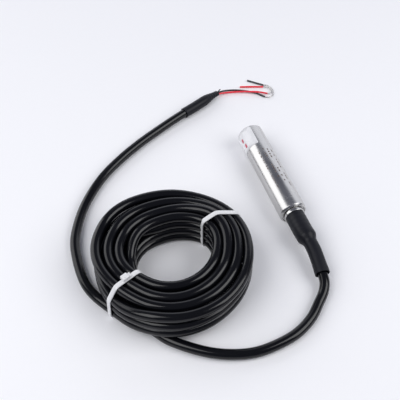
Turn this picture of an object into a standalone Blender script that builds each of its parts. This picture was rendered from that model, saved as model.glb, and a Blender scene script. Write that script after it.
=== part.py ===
"""Submersible liquid level sensor: a stainless probe and its vented cable, coiled, tied and ending in wires.

World frame in metres: the probe lies along Y with its nose at +Y, its metal body centred over the origin
and touching z = 0. Stations along the probe are distances from the nose face.
"""

import math

import bmesh
import bpy
from mathutils import Matrix, Vector

# Driving dimensions, in metres
GAP = 0.0003                     # clearance between neighbouring pieces
HOUSING_RADIUS = 0.011
HOUSING_LENGTH = 0.095
CABLE_RADIUS = 0.0038
WIRE_RADIUS = 0.0008
COIL_TURNS = 4                   # turns side by side in each layer
COIL_LAYERS = 4

# Housing tube, bored from both ends up to a web that the sensor capsule seats on
FRONT_WALL = 0.0014
REAR_WALL = 0.0016
NOSE_CHAMFER = 0.0008
REAR_CHAMFER = 0.0012
WEB_STATION = 0.024
WEB_THICKNESS = 0.003
WEB_LEDGE = 0.0024                # from the rear bore in to the web's hole

# Nose cap, with one pressure port and a ring of small bleed holes
CAP_DEPTH = 0.009
CAP_FACE = 0.0025
CAP_SKIRT_WALL = 0.0018
CAP_CHAMFER = 0.0005
PORT_RADIUS = 0.0032
BLEED_COUNT = 6
BLEED_RADIUS = 0.0008
BLEED_INSET = 0.0038             # of the holes' circle, from the cap's outer side

# Capsule, its diaphragm, retaining ring, seal and rear header
RING_THICKNESS = 0.003
RING_WALL = 0.0023
NOTCH_WIDTH = 0.002
NOTCH_DEPTH = 0.0012
DIAPHRAGM_MARGIN = 0.0004
DIAPHRAGM_THICKNESS = 0.0004
DIAPHRAGM_WAVES = 3
DIAPHRAGM_WAVE_HEIGHT = 0.00012
CAPSULE_GROOVE_STATION = 0.017
CAPSULE_GROOVE_DEPTH = 0.0018
SEAL_GROOVE_PLAY = 0.0005
HEADER_RECESS_WALL = 0.0031
HEADER_RECESS_DEPTH = 0.002
PIN_COUNT = 4
PIN_RADIUS = 0.0003
PIN_CIRCLE = 0.0036
PIN_LENGTH = 0.0052
CAPSULE_TUBE_RADIUS = 0.0011
CAPSULE_TUBE_BORE = 0.0006

# Circuit board, its two slotted holders and the insulating sleeve round them
SLEEVE_WALL = 0.0006
SLEEVE_FRONT_ROOM = 0.001
BOARD_THICKNESS = 0.0016
BOARD_FRONT_ROOM = 0.004
BOARD_EDGE = 0.0002              # broken edge of the board and the parts on it
HOLDER_THICKNESS = 0.0025
HOLDER_LIP = 0.0009              # left of a holder beside the board's slot
FRONT_HOLDER_INSET = 0.0055
REAR_HOLDER_INSET = 0.0045

# Parts on the board: shares of its width across it, and of the length between the holders along it
CHIP_PLACES = ((-0.14, 0.22), (-0.14, 0.70))
CHIP_WIDTH_SHARE = 0.36
CHIP_LENGTH_SHARE = 0.26
CHIP_HEIGHT = 0.0014
LEG_COUNT = 4
LEG_REACH_SHARE = 0.07
LEG_WIDTH = 0.0005
LEG_THICKNESS = 0.0003
TRIMMER_PLACES = ((0.29, 0.26), (0.29, 0.66))
TRIMMER_SHARE = 0.26
TRIMMER_HEADROOM = 0.0011        # from its top edge to the insulating sleeve
TRIMMER_SLOT = (0.0020, 0.0010, 0.0005)
CAN_PLACES = ((0.29, 0.30), (0.29, 0.72))
CAN_RADIUS_SHARE = 0.14
CAN_LENGTH_SHARE = 0.23

# Leads from the header to the board, wires and vent tube from the board to the cable
LEAD_ROW = 0.0036                # from the board's middle
LEAD_STRAIGHT = 0.001
LEAD_LANDING = 0.0015            # behind the board's front edge
BEND_ROOM = 0.0015
BOARD_WIRE_ROW = 0.003
JACKET_WIRE_SIDE = 0.0020
JACKET_WIRE_RISE = 0.0008
VENT_TUBE_RADIUS = 0.0006
VENT_TUBE_DROP = 0.003
VENT_TUBE_JACKET_DROP = 0.0022

# Cable gland, pressed into the rear bore, with its seal parts inside
GLAND_PLUG_LENGTH = 0.0102
GLAND_INSET = 0.0008
COLLAR_STEP = 0.0027             # from the housing's outer side in to the collar
COLLAR_PROUD = 0.003
NECK_LENGTH = 0.016
NECK_RADIUS = 0.0061
BARB_COUNT = 4
BARB_HEIGHT = 0.0007
BARB_RAMP_SHARE = 0.7            # of a barb's pitch
BARB_FACE_SHARE = 0.1
GROMMET_WALL = 0.0018
GLAND_FLOOR = 0.0035
GLAND_GROOVE_DEPTH = 0.0015
GLAND_GROOVE_INSET = 0.003
WASHER_THICKNESS = 0.0008
NUT_OVERHANG = 0.0008            # of the nut's corners, past the cavity it screws into
NUT_HEAD = 0.0045
NUT_SHANK = 0.002
CRIMP_LENGTH = 0.0034
CRIMP_WALL = 0.0009
CRIMP_RIBS = 3
CRIMP_VALLEY_SHARE = 0.6         # of the wall, left between the ribs
JACKET_STRIP = 0.010
PIGTAIL_ROOM = 0.004

# Heat-shrink over the neck and the cable: sideways, behind the housing and above its axis
RELIEF_BEND = [
    (0.0006, 0.027, -0.0002), (0.0009, 0.036, -0.0009),
    (0.0002, 0.046, -0.0024), (-0.0010, 0.057, -0.0040),
]
SHRINK_WALL = 0.0006
SHRINK_BIG_LENGTH = 0.019
SHRINK_TAPER_LENGTH = 0.005
SHRINK_SMALL_RADIUS = 0.00565
UNDERLAY_SETBACK = 0.003

# Coil and leads: routes are centre points chosen by hand along the cable
COIL_CENTRE = (-0.1047, -0.0551)
INNER_TURN_RADIUS = 0.0312
TURN_PITCH = 0.00765
TOP_INNER_TURN_RADIUS = 0.0316
TOP_TURN_PITCH = 0.0082
COIL_STEPS = 32
COIL_CREST_ANGLE = 22.0          # half of the flat on each turn's crest
COIL_VALLEY_SHARE = 0.45         # of the cable's radius, out to the hollow between two turns
PROBE_LEAD_ROUTE = [
    (-0.0024, -0.1020, 0.0059), (-0.0064, -0.1088, 0.0046), (-0.0130, -0.1155, 0.0039),
    (-0.0230, -0.1250, 0.0038), (-0.0370, -0.1330, 0.0038), (-0.0530, -0.1370, 0.0038),
    (-0.0710, -0.1380, 0.0038), (-0.0880, -0.1340, 0.0038), (-0.1040, -0.1262, 0.0038),
    (-0.1166, -0.1159, 0.0038),
]
TAIL_LEAD_ROUTE = [
    (-0.1667, -0.0560, 0.0038), (-0.1700, -0.0420, 0.0038), (-0.1710, -0.0250, 0.0038),
    (-0.1690, -0.0060, 0.0038), (-0.1630, 0.0110, 0.0038), (-0.1520, 0.0310, 0.0038),
    (-0.1330, 0.0540, 0.0038), (-0.1120, 0.0710, 0.0038), (-0.0900, 0.0850, 0.0038),
    (-0.0690, 0.0960, 0.0040), (-0.0550, 0.1025, 0.0046), (-0.0440, 0.1074, 0.0048),
    (-0.0350, 0.1112, 0.0048), (-0.0260, 0.1153, 0.0048),
]

# Cable ties round the coil, placed by the angle from its centre
TIE_ANGLES = {"tie_near": -156.0, "tie_far": 25.0}
TIE_WIDTH = 0.0036
TIE_THICKNESS = 0.0012
TIE_HEAD_SIZE = (0.0056, 0.0052, 0.0042)
TIE_HEAD_ON_TOP = {"tie_near": True, "tie_far": False}
TIE_HEAD_RADIUS = 0.043          # of a head on top of the coil, from its centre
TIE_HEAD_HEIGHT = 0.016          # of a head on the coil's outer side
TIE_HEAD_EDGE = 0.0005
TIE_STUB = 0.001
TIE_STUB_LEVEL = 0.6             # of the head's height

# Cable end: a shrunk sleeve with the wires and the vent capillary coming out of its tip
TAIL_SLEEVE_ROUTE = [
    (-0.0440, 0.1074, 0.0048), (-0.0350, 0.1112, 0.0048), (-0.0260, 0.1153, 0.0048),
    (-0.0170, 0.1198, 0.0046), (-0.0110, 0.1227, 0.0041), (-0.0060, 0.1250, 0.0036),
]
TAIL_SLEEVE_WALL = 0.0005
TAIL_SLEEVE_TIP_RADIUS = 0.0028
TAIL_SLEEVE_TAPER = 0.019
BLACK_WIRE_ROUTE = [
    (-0.0244, 0.1171, 0.0045), (-0.0170, 0.1209, 0.0043), (-0.0110, 0.1239, 0.0038),
    (-0.0062, 0.1260, 0.0032), (0.0022, 0.1282, 0.0017), (0.0112, 0.1273, 0.0009),
    (0.0215, 0.1227, 0.0009), (0.0302, 0.1164, 0.0008), (0.0359, 0.1094, 0.0008),
]
RED_WIRE_ROUTE = [
    (-0.0239, 0.1151, 0.0045), (-0.0164, 0.1189, 0.0043), (-0.0104, 0.1219, 0.0038),
    (-0.0055, 0.1241, 0.0032), (0.0025, 0.1252, 0.0018), (0.0109, 0.1238, 0.0016),
    (0.0222, 0.1196, 0.0024), (0.0312, 0.1156, 0.0028), (0.0395, 0.1118, 0.0018),
]
CAPILLARY_ROUTE = [
    (-0.0168, 0.1198, 0.0061), (-0.0110, 0.1228, 0.0055), (-0.0060, 0.1250, 0.0050),
    (-0.0022, 0.1276, 0.0053),
]
CAPILLARY_RADIUS = 0.0005
CAPILLARY_BORE = 0.00025
RED_STRAND_ROUTE = [
    (0.0400, 0.1116, 0.0017), (0.0424, 0.1117, 0.0014), (0.0443, 0.1150, 0.0010),
    (0.0442, 0.1190, 0.0009), (0.0425, 0.1217, 0.0008), (0.0403, 0.1228, 0.0008),
]
BLACK_STRAND_ROUTE = [
    (0.0361, 0.1088, 0.0008), (0.0385, 0.1076, 0.0008), (0.0430, 0.1086, 0.0007),
    (0.0460, 0.1135, 0.0007), (0.0463, 0.1190, 0.0007), (0.0442, 0.1235, 0.0008),
    (0.0414, 0.1251, 0.0008),
]
STRAND_RADIUS = 0.0005
SLUG_WALL = 0.0003
RED_SLUG_ROUTE = [(0.0397, 0.1230, 0.0008), (0.0290, 0.1266, 0.0009), (0.0186, 0.1298, 0.0008)]
BLACK_SLUG_ROUTE = [(0.0408, 0.1254, 0.0008), (0.0352, 0.1302, 0.0009), (0.0287, 0.1365, 0.0008)]

# Facets round turned pieces, and spacing of the sections along curved ones
HOUSING_SIDES = 48
TURNED_SIDES = 24
SMALL_SIDES = 16
FINE_STEP = 0.0013
ROUTE_STEP = 0.0026
LONG_STEP = 0.005

# Stations and radii that follow from the sizes above
AXIS_HEIGHT = HOUSING_RADIUS
METAL_LENGTH = HOUSING_LENGTH + COLLAR_PROUD + NECK_LENGTH
NOSE_Y = METAL_LENGTH / 2
FRONT_BORE = HOUSING_RADIUS - FRONT_WALL
REAR_BORE = HOUSING_RADIUS - REAR_WALL
RING_STATION = CAP_DEPTH + GAP
RING_BORE = FRONT_BORE - GAP - RING_WALL
CAPSULE_STATION = RING_STATION + RING_THICKNESS + GAP
HEADER_STATION = WEB_STATION - GAP
HEADER_RECESS_RADIUS = FRONT_BORE - GAP - HEADER_RECESS_WALL
WEB_REAR = WEB_STATION + WEB_THICKNESS
WEB_HOLE_RADIUS = REAR_BORE - WEB_LEDGE
GLAND_STATION = HOUSING_LENGTH - GLAND_INSET - GLAND_PLUG_LENGTH
COLLAR_REAR = HOUSING_LENGTH + COLLAR_PROUD
COLLAR_RADIUS = HOUSING_RADIUS - COLLAR_STEP
NECK_REAR = COLLAR_REAR + NECK_LENGTH
CAVITY_REAR = COLLAR_REAR - GLAND_FLOOR
JACKET_STATION = GLAND_STATION - JACKET_STRIP
CABLE_BORE = CABLE_RADIUS + GAP
GLAND_CAVITY_RADIUS = CABLE_BORE + GROMMET_WALL + GAP
SLEEVE_STATION = WEB_REAR + SLEEVE_FRONT_ROOM
SLEEVE_REAR = JACKET_STATION - SLEEVE_FRONT_ROOM
SLEEVE_RADIUS = REAR_BORE - GAP
SLEEVE_BORE = SLEEVE_RADIUS - SLEEVE_WALL
BOARD_STATION = WEB_REAR + BOARD_FRONT_ROOM
BOARD_REAR = JACKET_STATION - PIGTAIL_ROOM
BOARD_LENGTH = BOARD_REAR - BOARD_STATION
BOARD_WIDTH = 2 * (SLEEVE_BORE - 2 * GAP - HOLDER_LIP)
BOARD_TOP = BOARD_THICKNESS / 2 + GAP
FRONT_HOLDER_STATION = BOARD_STATION + FRONT_HOLDER_INSET
REAR_HOLDER_STATION = BOARD_REAR - REAR_HOLDER_INSET - HOLDER_THICKNESS
PIN_REAR = HEADER_STATION - HEADER_RECESS_DEPTH + GAP + PIN_LENGTH
SHRINK_BIG_RADIUS = NECK_RADIUS + BARB_HEIGHT + GAP + SHRINK_WALL
COIL_HEIGHT = 2 * CABLE_RADIUS * COIL_LAYERS
COIL_BORE = INNER_TURN_RADIUS - CABLE_RADIUS
COIL_RADIUS = TOP_INNER_TURN_RADIUS + (COIL_TURNS - 1) * TOP_TURN_PITCH + CABLE_RADIUS
TAIL_SLEEVE_RADIUS = CABLE_RADIUS + GAP + TAIL_SLEEVE_WALL


def clear_scene():
    for obj in list(bpy.data.objects):
        bpy.data.objects.remove(obj)


def new_collection(name, hidden=False):
    collection = bpy.data.collections.new(name)
    collection.hide_render = hidden
    bpy.context.scene.collection.children.link(collection)
    return collection


clear_scene()
PARTS = new_collection("liquid_level_sensor")
CUTTERS = new_collection("cutters", hidden=True)

probe = bpy.data.objects.new("probe_axis", None)
probe.location = (0, NOSE_Y, AXIS_HEIGHT)
probe.rotation_euler = (math.pi / 2, 0, 0)      # local Z runs back from the nose, local Y points up
PARTS.objects.link(probe)


def finish(name, color, roughness, metallic=0.0):
    material = bpy.data.materials.new(name)
    material.use_nodes = True
    shader = material.node_tree.nodes["Principled BSDF"]
    shader.inputs["Base Color"].default_value = (*color, 1.0)
    shader.inputs["Roughness"].default_value = roughness
    shader.inputs["Metallic"].default_value = metallic
    return material


def stainless(name, roughness=0.22):
    return finish(name, (0.62, 0.61, 0.60), roughness, 1.0)


def add_object(name, mesh, material=None, parent=None, collection=PARTS):
    obj = bpy.data.objects.new(name, mesh)
    obj.parent = parent
    if material:
        mesh.materials.append(material)
    collection.objects.link(obj)
    return obj


def baked(obj):
    """Swaps the object's data for its evaluated mesh, welded and with smooth sides and sharp corners."""
    bpy.context.view_layer.update()
    evaluated = obj.evaluated_get(bpy.context.evaluated_depsgraph_get())
    mesh = bpy.data.meshes.new_from_object(evaluated)
    work = bmesh.new()
    work.from_mesh(mesh)
    bmesh.ops.remove_doubles(work, verts=work.verts, dist=1e-6)
    work.to_mesh(mesh)
    work.free()
    mesh.shade_smooth()
    mesh.set_sharp_from_angle(angle=math.radians(35))
    made = bpy.data.objects.new("baked", mesh)
    made.parent = obj.parent
    made.matrix_basis = obj.matrix_basis
    for collection in obj.users_collection:
        collection.objects.link(made)
    name = obj.name
    bpy.data.objects.remove(obj)
    made.name = name
    return made


def lathe(name, outline, material=None, sides=TURNED_SIDES, closed=True, parent=probe, collection=PARTS):
    """Turns an outline of (station, radius) points, listed down the outer side from rear to front."""
    mesh = bpy.data.meshes.new(name)
    points = [(radius, 0, station) for station, radius in outline]
    edges = [(i, i + 1) for i in range(len(points) - 1)]
    if closed:
        edges.append((len(points) - 1, 0))
    mesh.from_pydata(points, edges, [])
    obj = add_object(name, mesh, material, parent, collection)
    screw = obj.modifiers.new("turn", "SCREW")
    screw.steps = screw.render_steps = sides
    screw.use_merge_vertices = True
    screw.merge_threshold = 1e-5
    return baked(obj)


def ring(name, front, rear, radius, bore, material, sides=TURNED_SIDES):
    return lathe(name, [(rear, radius), (front, radius), (front, bore), (rear, bore)], material, sides)


def rod(name, front, rear, radius, material=None, sides=SMALL_SIDES, collection=PARTS):
    outline = [(rear, 0), (rear, radius), (front, radius), (front, 0)]
    return lathe(name, outline, material, sides, closed=False, collection=collection)


def box(name, size, centre, material=None, bevel=0.0, parent=probe, collection=PARTS):
    mesh = bpy.data.meshes.new(name)
    work = bmesh.new()
    bmesh.ops.create_cube(work, size=1.0, matrix=Matrix.Diagonal((*size, 1.0)))
    work.to_mesh(mesh)
    work.free()
    obj = add_object(name, mesh, material, parent, collection)
    obj.location = centre
    if bevel:
        rounding = obj.modifiers.new("edges", "BEVEL")
        rounding.width = bevel
        rounding.segments = 1
    return obj


def combine(obj, other, operation):
    boolean = obj.modifiers.new(other.name, "BOOLEAN")
    boolean.operation = operation
    boolean.solver = "EXACT"
    boolean.object = other
    other.hide_render = True
    other.display_type = "WIRE"


def joined(name, pieces):
    """Puts separate, untouching solids in one object."""
    bpy.context.view_layer.update()
    work = bmesh.new()
    for piece in pieces:
        part = bmesh.new()
        part.from_mesh(baked_mesh(piece))
        bmesh.ops.transform(part, matrix=piece.matrix_local, verts=part.verts)
        held = bpy.data.meshes.new("held")
        part.to_mesh(held)
        part.free()
        work.from_mesh(held)
        bpy.data.meshes.remove(held)
    mesh = bpy.data.meshes.new(name)
    work.to_mesh(mesh)
    work.free()
    first = pieces[0]
    obj = add_object(name, mesh, first.data.materials[0] if first.data.materials else None, first.parent)
    for collection in list(obj.users_collection):
        collection.objects.unlink(obj)
    first.users_collection[0].objects.link(obj)
    for piece in pieces:
        bpy.data.objects.remove(piece)
    return obj


def baked_mesh(obj):
    return bpy.data.meshes.new_from_object(obj.evaluated_get(bpy.context.evaluated_depsgraph_get()))


def smooth_route(points, spacing):
    """Evenly spaced points on a smooth curve through the given ones."""
    knots = [Vector(p) for p in points]
    knots = [2 * knots[0] - knots[1]] + knots + [2 * knots[-1] - knots[-2]]
    dense = []
    for a, b, c, d in zip(knots, knots[1:], knots[2:], knots[3:]):
        ta, tb, tc = ((q - p).length ** 0.5 for p, q in ((a, b), (b, c), (c, d)))
        slope_b = tb * ((b - a) / ta - (c - a) / (ta + tb) + (c - b) / tb)
        slope_c = tb * ((c - b) / tb - (d - b) / (tb + tc) + (d - c) / tc)
        for i in range(16):
            t = i / 16
            dense.append(
                b * (2 * t**3 - 3 * t**2 + 1) + slope_b * (t**3 - 2 * t**2 + t)
                + c * (3 * t**2 - 2 * t**3) + slope_c * (t**3 - t**2)
            )
    dense.append(knots[-2])
    steps = max(2, round(route_length(dense) / spacing))
    return [point_along(dense, route_length(dense) * i / steps) for i in range(steps + 1)]


def route_length(points):
    return sum((q - p).length for p, q in zip(points, points[1:]))


def point_along(points, distance):
    for p, q in zip(points, points[1:]):
        step = (q - p).length
        if distance <= step:
            return p.lerp(q, distance / step)
        distance -= step
    return points[-1].copy()


def curve_object(name, points, radii, resolution, capped, parent=None):
    curve = bpy.data.curves.new(name, "CURVE")
    curve.dimensions = "3D"
    curve.bevel_depth = 1.0
    curve.bevel_resolution = resolution
    curve.use_fill_caps = capped
    spline = curve.splines.new("POLY")
    spline.points.add(len(points) - 1)
    for target, point, radius in zip(spline.points, points, radii):
        target.co = (*point, 1.0)
        target.radius = radius
    obj = bpy.data.objects.new(name, curve)
    obj.parent = parent
    PARTS.objects.link(obj)
    return obj


def cord(name, route, radius, material, resolution=3, parent=None, heading=None, diameters=2.5):
    """A solid round cord with a point every few diameters. Its first face can be squared to a heading."""
    points = smooth_route(route, 2 * radius * diameters)
    if heading:
        points.insert(1, points[0] + heading * radius)
    obj = baked(curve_object(name, points, [radius] * len(points), resolution, True, parent))
    obj.data.materials.append(material)
    return obj


def sleeve(name, points, radii, wall, material, resolution=4):
    """An open tube along the points, with its wall inwards from the given outer radii."""
    obj = baked(curve_object(name, points, radii, resolution, False))
    obj.data.materials.append(material)
    shell = obj.modifiers.new("wall", "SOLIDIFY")
    shell.thickness = wall
    shell.offset = -1.0
    shell.use_even_offset = True
    return obj


def housing():
    outline = [
        (HOUSING_LENGTH, HOUSING_RADIUS - REAR_CHAMFER),
        (HOUSING_LENGTH - REAR_CHAMFER, HOUSING_RADIUS),
        (NOSE_CHAMFER, HOUSING_RADIUS),
        (0, HOUSING_RADIUS - NOSE_CHAMFER),
        (0, FRONT_BORE),
        (WEB_STATION, FRONT_BORE),
        (WEB_STATION, WEB_HOLE_RADIUS),
        (WEB_REAR, WEB_HOLE_RADIUS),
        (WEB_REAR, REAR_BORE),
        (HOUSING_LENGTH, REAR_BORE),
    ]
    lathe("housing", outline, stainless("turned_stainless"), sides=HOUSING_SIDES)


def nose_cap():
    radius = FRONT_BORE - GAP
    skirt_bore = radius - CAP_SKIRT_WALL
    outline = [
        (CAP_DEPTH, radius),
        (CAP_CHAMFER, radius),
        (0, radius - CAP_CHAMFER),
        (0, PORT_RADIUS + CAP_CHAMFER),
        (CAP_CHAMFER, PORT_RADIUS),
        (CAP_FACE, PORT_RADIUS),
        (CAP_FACE, skirt_bore),
        (CAP_DEPTH, skirt_bore),
    ]
    cap = lathe("nose_cap", outline, stainless("cap_stainless", 0.3))
    holes = []
    for i in range(BLEED_COUNT):
        angle = 2 * math.pi * i / BLEED_COUNT
        hole = rod(f"bleed_hole_{i}", -CAP_FACE, 2 * CAP_FACE, BLEED_RADIUS, sides=12, collection=CUTTERS)
        hole.location = Matrix.Rotation(angle, 3, "Z") @ Vector((radius - BLEED_INSET, 0, 0))
        holes.append(hole)
    combine(cap, joined("bleed_holes", holes), "DIFFERENCE")


def retaining_ring():
    radius = FRONT_BORE - GAP
    rear = RING_STATION + RING_THICKNESS
    metal = stainless("ring_stainless", 0.3)
    piece = ring("retaining_ring", RING_STATION, rear, radius, RING_BORE, metal)
    notch_size = (3 * radius, NOTCH_WIDTH, 2 * NOTCH_DEPTH)
    notch = box("spanner_notch", notch_size, (0, 0, RING_STATION), collection=CUTTERS)
    combine(piece, notch, "DIFFERENCE")


def diaphragm():
    radius = RING_BORE - DIAPHRAGM_MARGIN
    middle = CAPSULE_STATION - GAP - DIAPHRAGM_WAVE_HEIGHT - DIAPHRAGM_THICKNESS / 2
    steps = 4 * DIAPHRAGM_WAVES
    wave = [
        (middle + DIAPHRAGM_WAVE_HEIGHT * math.sin(math.pi * i / 2), radius * i / steps)
        for i in range(steps + 1)
    ]
    rear = [(station + DIAPHRAGM_THICKNESS / 2, r) for station, r in wave]
    front = [(station - DIAPHRAGM_THICKNESS / 2, r) for station, r in reversed(wave)]
    lathe("diaphragm", rear + front, stainless("foil_stainless", 0.15), sides=SMALL_SIDES, closed=False)


def sensor_capsule():
    radius = FRONT_BORE - GAP
    groove_rear = CAPSULE_GROOVE_STATION + seal_width(CAPSULE_GROOVE_DEPTH + GAP)
    outline = [
        (HEADER_STATION - HEADER_RECESS_DEPTH, 0),
        (HEADER_STATION - HEADER_RECESS_DEPTH, HEADER_RECESS_RADIUS),
        (HEADER_STATION, HEADER_RECESS_RADIUS),
        (HEADER_STATION, radius),
        (groove_rear, radius),
        (groove_rear, radius - CAPSULE_GROOVE_DEPTH),
        (CAPSULE_GROOVE_STATION, radius - CAPSULE_GROOVE_DEPTH),
        (CAPSULE_GROOVE_STATION, radius),
        (CAPSULE_STATION, radius),
        (CAPSULE_STATION, 0),
    ]
    lathe("sensor_capsule", outline, stainless("capsule_stainless", 0.3), closed=False)


def seal_width(room):
    """Width of the groove for an O-ring whose section fills the room between groove and bore."""
    return room + SEAL_GROOVE_PLAY


def o_ring(name, station, bore, depth):
    """An O-ring in a groove of this depth, cut in a piece that fits the bore, starting at the station."""
    room = depth + GAP
    section = room / 2 - GAP
    middle = station + seal_width(room) / 2
    angles = [2 * math.pi * i / 8 for i in range(8)]
    outline = [(middle - section * math.sin(a), bore - room / 2 + section * math.cos(a)) for a in angles]
    lathe(name, outline, finish(name + "_rubber", (0.02, 0.02, 0.022), 0.6))


def header():
    gold = finish("gold_plating", (0.85, 0.62, 0.25), 0.3, 1.0)
    front = HEADER_STATION - HEADER_RECESS_DEPTH + GAP
    for i in range(PIN_COUNT):
        angle = 2 * math.pi * (i + 0.5) / PIN_COUNT
        pin = rod(f"header_pin_{i + 1}", front, front + PIN_LENGTH, PIN_RADIUS, gold, sides=8)
        pin.location = (PIN_CIRCLE * math.cos(angle), PIN_CIRCLE * math.sin(angle), 0)
    ring("capsule_vent_tube", front, front + PIN_LENGTH, CAPSULE_TUBE_RADIUS, CAPSULE_TUBE_BORE,
         stainless("capillary_stainless"), sides=12)


def header_leads():
    """Four short leads from the header pins over the front edge of the board."""
    enamel = finish("lead_enamel", (0.55, 0.30, 0.12), 0.45)
    start = PIN_REAR + GAP
    end = FRONT_HOLDER_STATION - 2 * GAP
    for i in range(PIN_COUNT):
        angle = 2 * math.pi * (i + 0.5) / PIN_COUNT
        x, y = PIN_CIRCLE * math.cos(angle), PIN_CIRCLE * math.sin(angle)
        across = math.copysign(LEAD_ROW, x)
        over = math.copysign(BOARD_TOP + PIN_RADIUS, y)
        route = [
            (x, y, start),
            (x, y, start + LEAD_STRAIGHT),
            (across, over, BOARD_STATION + LEAD_LANDING),
            (across, over, end),
        ]
        points = smooth_route(route, 4 * PIN_RADIUS)
        radii = [PIN_RADIUS] * len(points)
        lead = baked(curve_object(f"header_lead_{i + 1}", points, radii, 1, True, probe))
        lead.data.materials.append(enamel)


def insulating_sleeve():
    ring("insulating_sleeve", SLEEVE_STATION, SLEEVE_REAR, SLEEVE_RADIUS, SLEEVE_BORE,
         finish("insulating_film", (0.75, 0.66, 0.40), 0.4))


def board_holder(name, station):
    """A disc slotted for the board, with a hole for the vent tube below it."""
    holder = rod(name, station, station + HOLDER_THICKNESS, SLEEVE_BORE - GAP,
                 finish(name + "_plastic", (0.85, 0.85, 0.82), 0.5), sides=TURNED_SIDES)
    middle = station + HOLDER_THICKNESS / 2
    slot_size = (BOARD_WIDTH + 2 * GAP, BOARD_THICKNESS + 2 * GAP, 2 * HOLDER_THICKNESS)
    combine(holder, box(name + "_slot", slot_size, (0, 0, middle), collection=CUTTERS), "DIFFERENCE")
    hole = rod(name + "_hole", station - HOLDER_THICKNESS, station + 2 * HOLDER_THICKNESS,
               VENT_TUBE_RADIUS + GAP, sides=12, collection=CUTTERS)
    hole.location = (0, -VENT_TUBE_DROP, 0)
    combine(holder, hole, "DIFFERENCE")


def circuit_board():
    board_middle = (BOARD_STATION + BOARD_REAR) / 2
    box("circuit_board", (BOARD_WIDTH, BOARD_THICKNESS, BOARD_LENGTH), (0, 0, board_middle),
        finish("board_green", (0.02, 0.16, 0.07), 0.4), bevel=BOARD_EDGE)
    free_front = FRONT_HOLDER_STATION + HOLDER_THICKNESS
    free_length = REAR_HOLDER_STATION - free_front
    places = [
        [(BOARD_WIDTH * across, free_front + free_length * along) for across, along in shares]
        for shares in (CHIP_PLACES, TRIMMER_PLACES, CAN_PLACES)
    ]
    chips(places[0], BOARD_WIDTH * CHIP_WIDTH_SHARE, free_length * CHIP_LENGTH_SHARE)
    trimmers(places[1], BOARD_WIDTH * TRIMMER_SHARE, free_length * TRIMMER_SHARE)
    capacitors(places[2], BOARD_WIDTH * CAN_RADIUS_SHARE, free_length * CAN_LENGTH_SHARE)


def chips(places, width, length):
    epoxy = finish("chip_epoxy", (0.015, 0.015, 0.017), 0.5)
    height = BOARD_TOP + CHIP_HEIGHT / 2
    leg_size = (width + 2 * BOARD_WIDTH * LEG_REACH_SHARE, LEG_THICKNESS, LEG_WIDTH)
    for i, (across, station) in enumerate(places):
        chip = box(f"chip_{i + 1}", (width, CHIP_HEIGHT, length), (across, height, station), epoxy)
        legs = []
        for j in range(LEG_COUNT):
            leg_station = station + length * ((j + 0.5) / LEG_COUNT - 0.5)
            leg_place = (across, height, leg_station)
            legs.append(box(f"leg_{i}_{j}", leg_size, leg_place, epoxy, collection=CUTTERS))
        combine(chip, joined(f"legs_{i}", legs), "UNION")


def trimmers(places, width, length):
    blue = finish("trimmer_blue", (0.03, 0.10, 0.45), 0.35)
    for i, (across, station) in enumerate(places):
        corner = across + width / 2
        height = math.sqrt(SLEEVE_BORE**2 - corner**2) - BOARD_TOP - TRIMMER_HEADROOM
        place = (across, BOARD_TOP + height / 2, station)
        trimmer = box(f"trimmer_{i + 1}", (width, height, length), place, blue, bevel=BOARD_EDGE)
        slot_place = (across, BOARD_TOP + height, station)
        slot = box(f"trimmer_slot_{i}", TRIMMER_SLOT, slot_place, collection=CUTTERS)
        combine(trimmer, slot, "DIFFERENCE")


def capacitors(places, radius, length):
    for i, (across, station) in enumerate(places):
        can = rod(f"capacitor_{i + 1}", station - length / 2, station + length / 2, radius,
                  finish(f"can_{i}", (0.70, 0.70, 0.72), 0.35, 1.0))
        can.location = (across, -BOARD_TOP - radius, 0)


def inner_wiring():
    """Wires from the board's rear edge and the vent tube under the board, up to the cable jacket."""
    over = BOARD_TOP + WIRE_RADIUS
    start = REAR_HOLDER_STATION + HOLDER_THICKNESS + 2 * GAP
    end = JACKET_STATION - GAP
    wires = (("board_wire_red", 1, (0.60, 0.02, 0.02)), ("board_wire_black", -1, (0.02, 0.02, 0.02)))
    for name, side, color in wires:
        route = [
            (side * BOARD_WIRE_ROW, side * over, start),
            (side * BOARD_WIRE_ROW, side * over, BOARD_REAR),
            (side * JACKET_WIRE_SIDE, side * JACKET_WIRE_RISE, end - BEND_ROOM),
            (side * JACKET_WIRE_SIDE, side * JACKET_WIRE_RISE, end),
        ]
        cord(name, route, WIRE_RADIUS, finish(name, color, 0.4), resolution=2, parent=probe)
    tube_front = PIN_REAR + GAP
    route = [
        (0, 0, tube_front),
        (0, -VENT_TUBE_DROP / 4, tube_front + BEND_ROOM),
        (0, -VENT_TUBE_DROP, FRONT_HOLDER_STATION - 2 * BEND_ROOM),
        (0, -VENT_TUBE_DROP, FRONT_HOLDER_STATION - 2 * GAP),
        (0, -VENT_TUBE_DROP, REAR_HOLDER_STATION + HOLDER_THICKNESS),
        (0, -VENT_TUBE_DROP, REAR_HOLDER_STATION + HOLDER_THICKNESS + BEND_ROOM),
        (0, -VENT_TUBE_JACKET_DROP, end),
    ]
    cord("board_vent_tube", route, VENT_TUBE_RADIUS, finish("vent_nylon", (0.80, 0.80, 0.78), 0.4),
         resolution=2, parent=probe)


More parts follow.
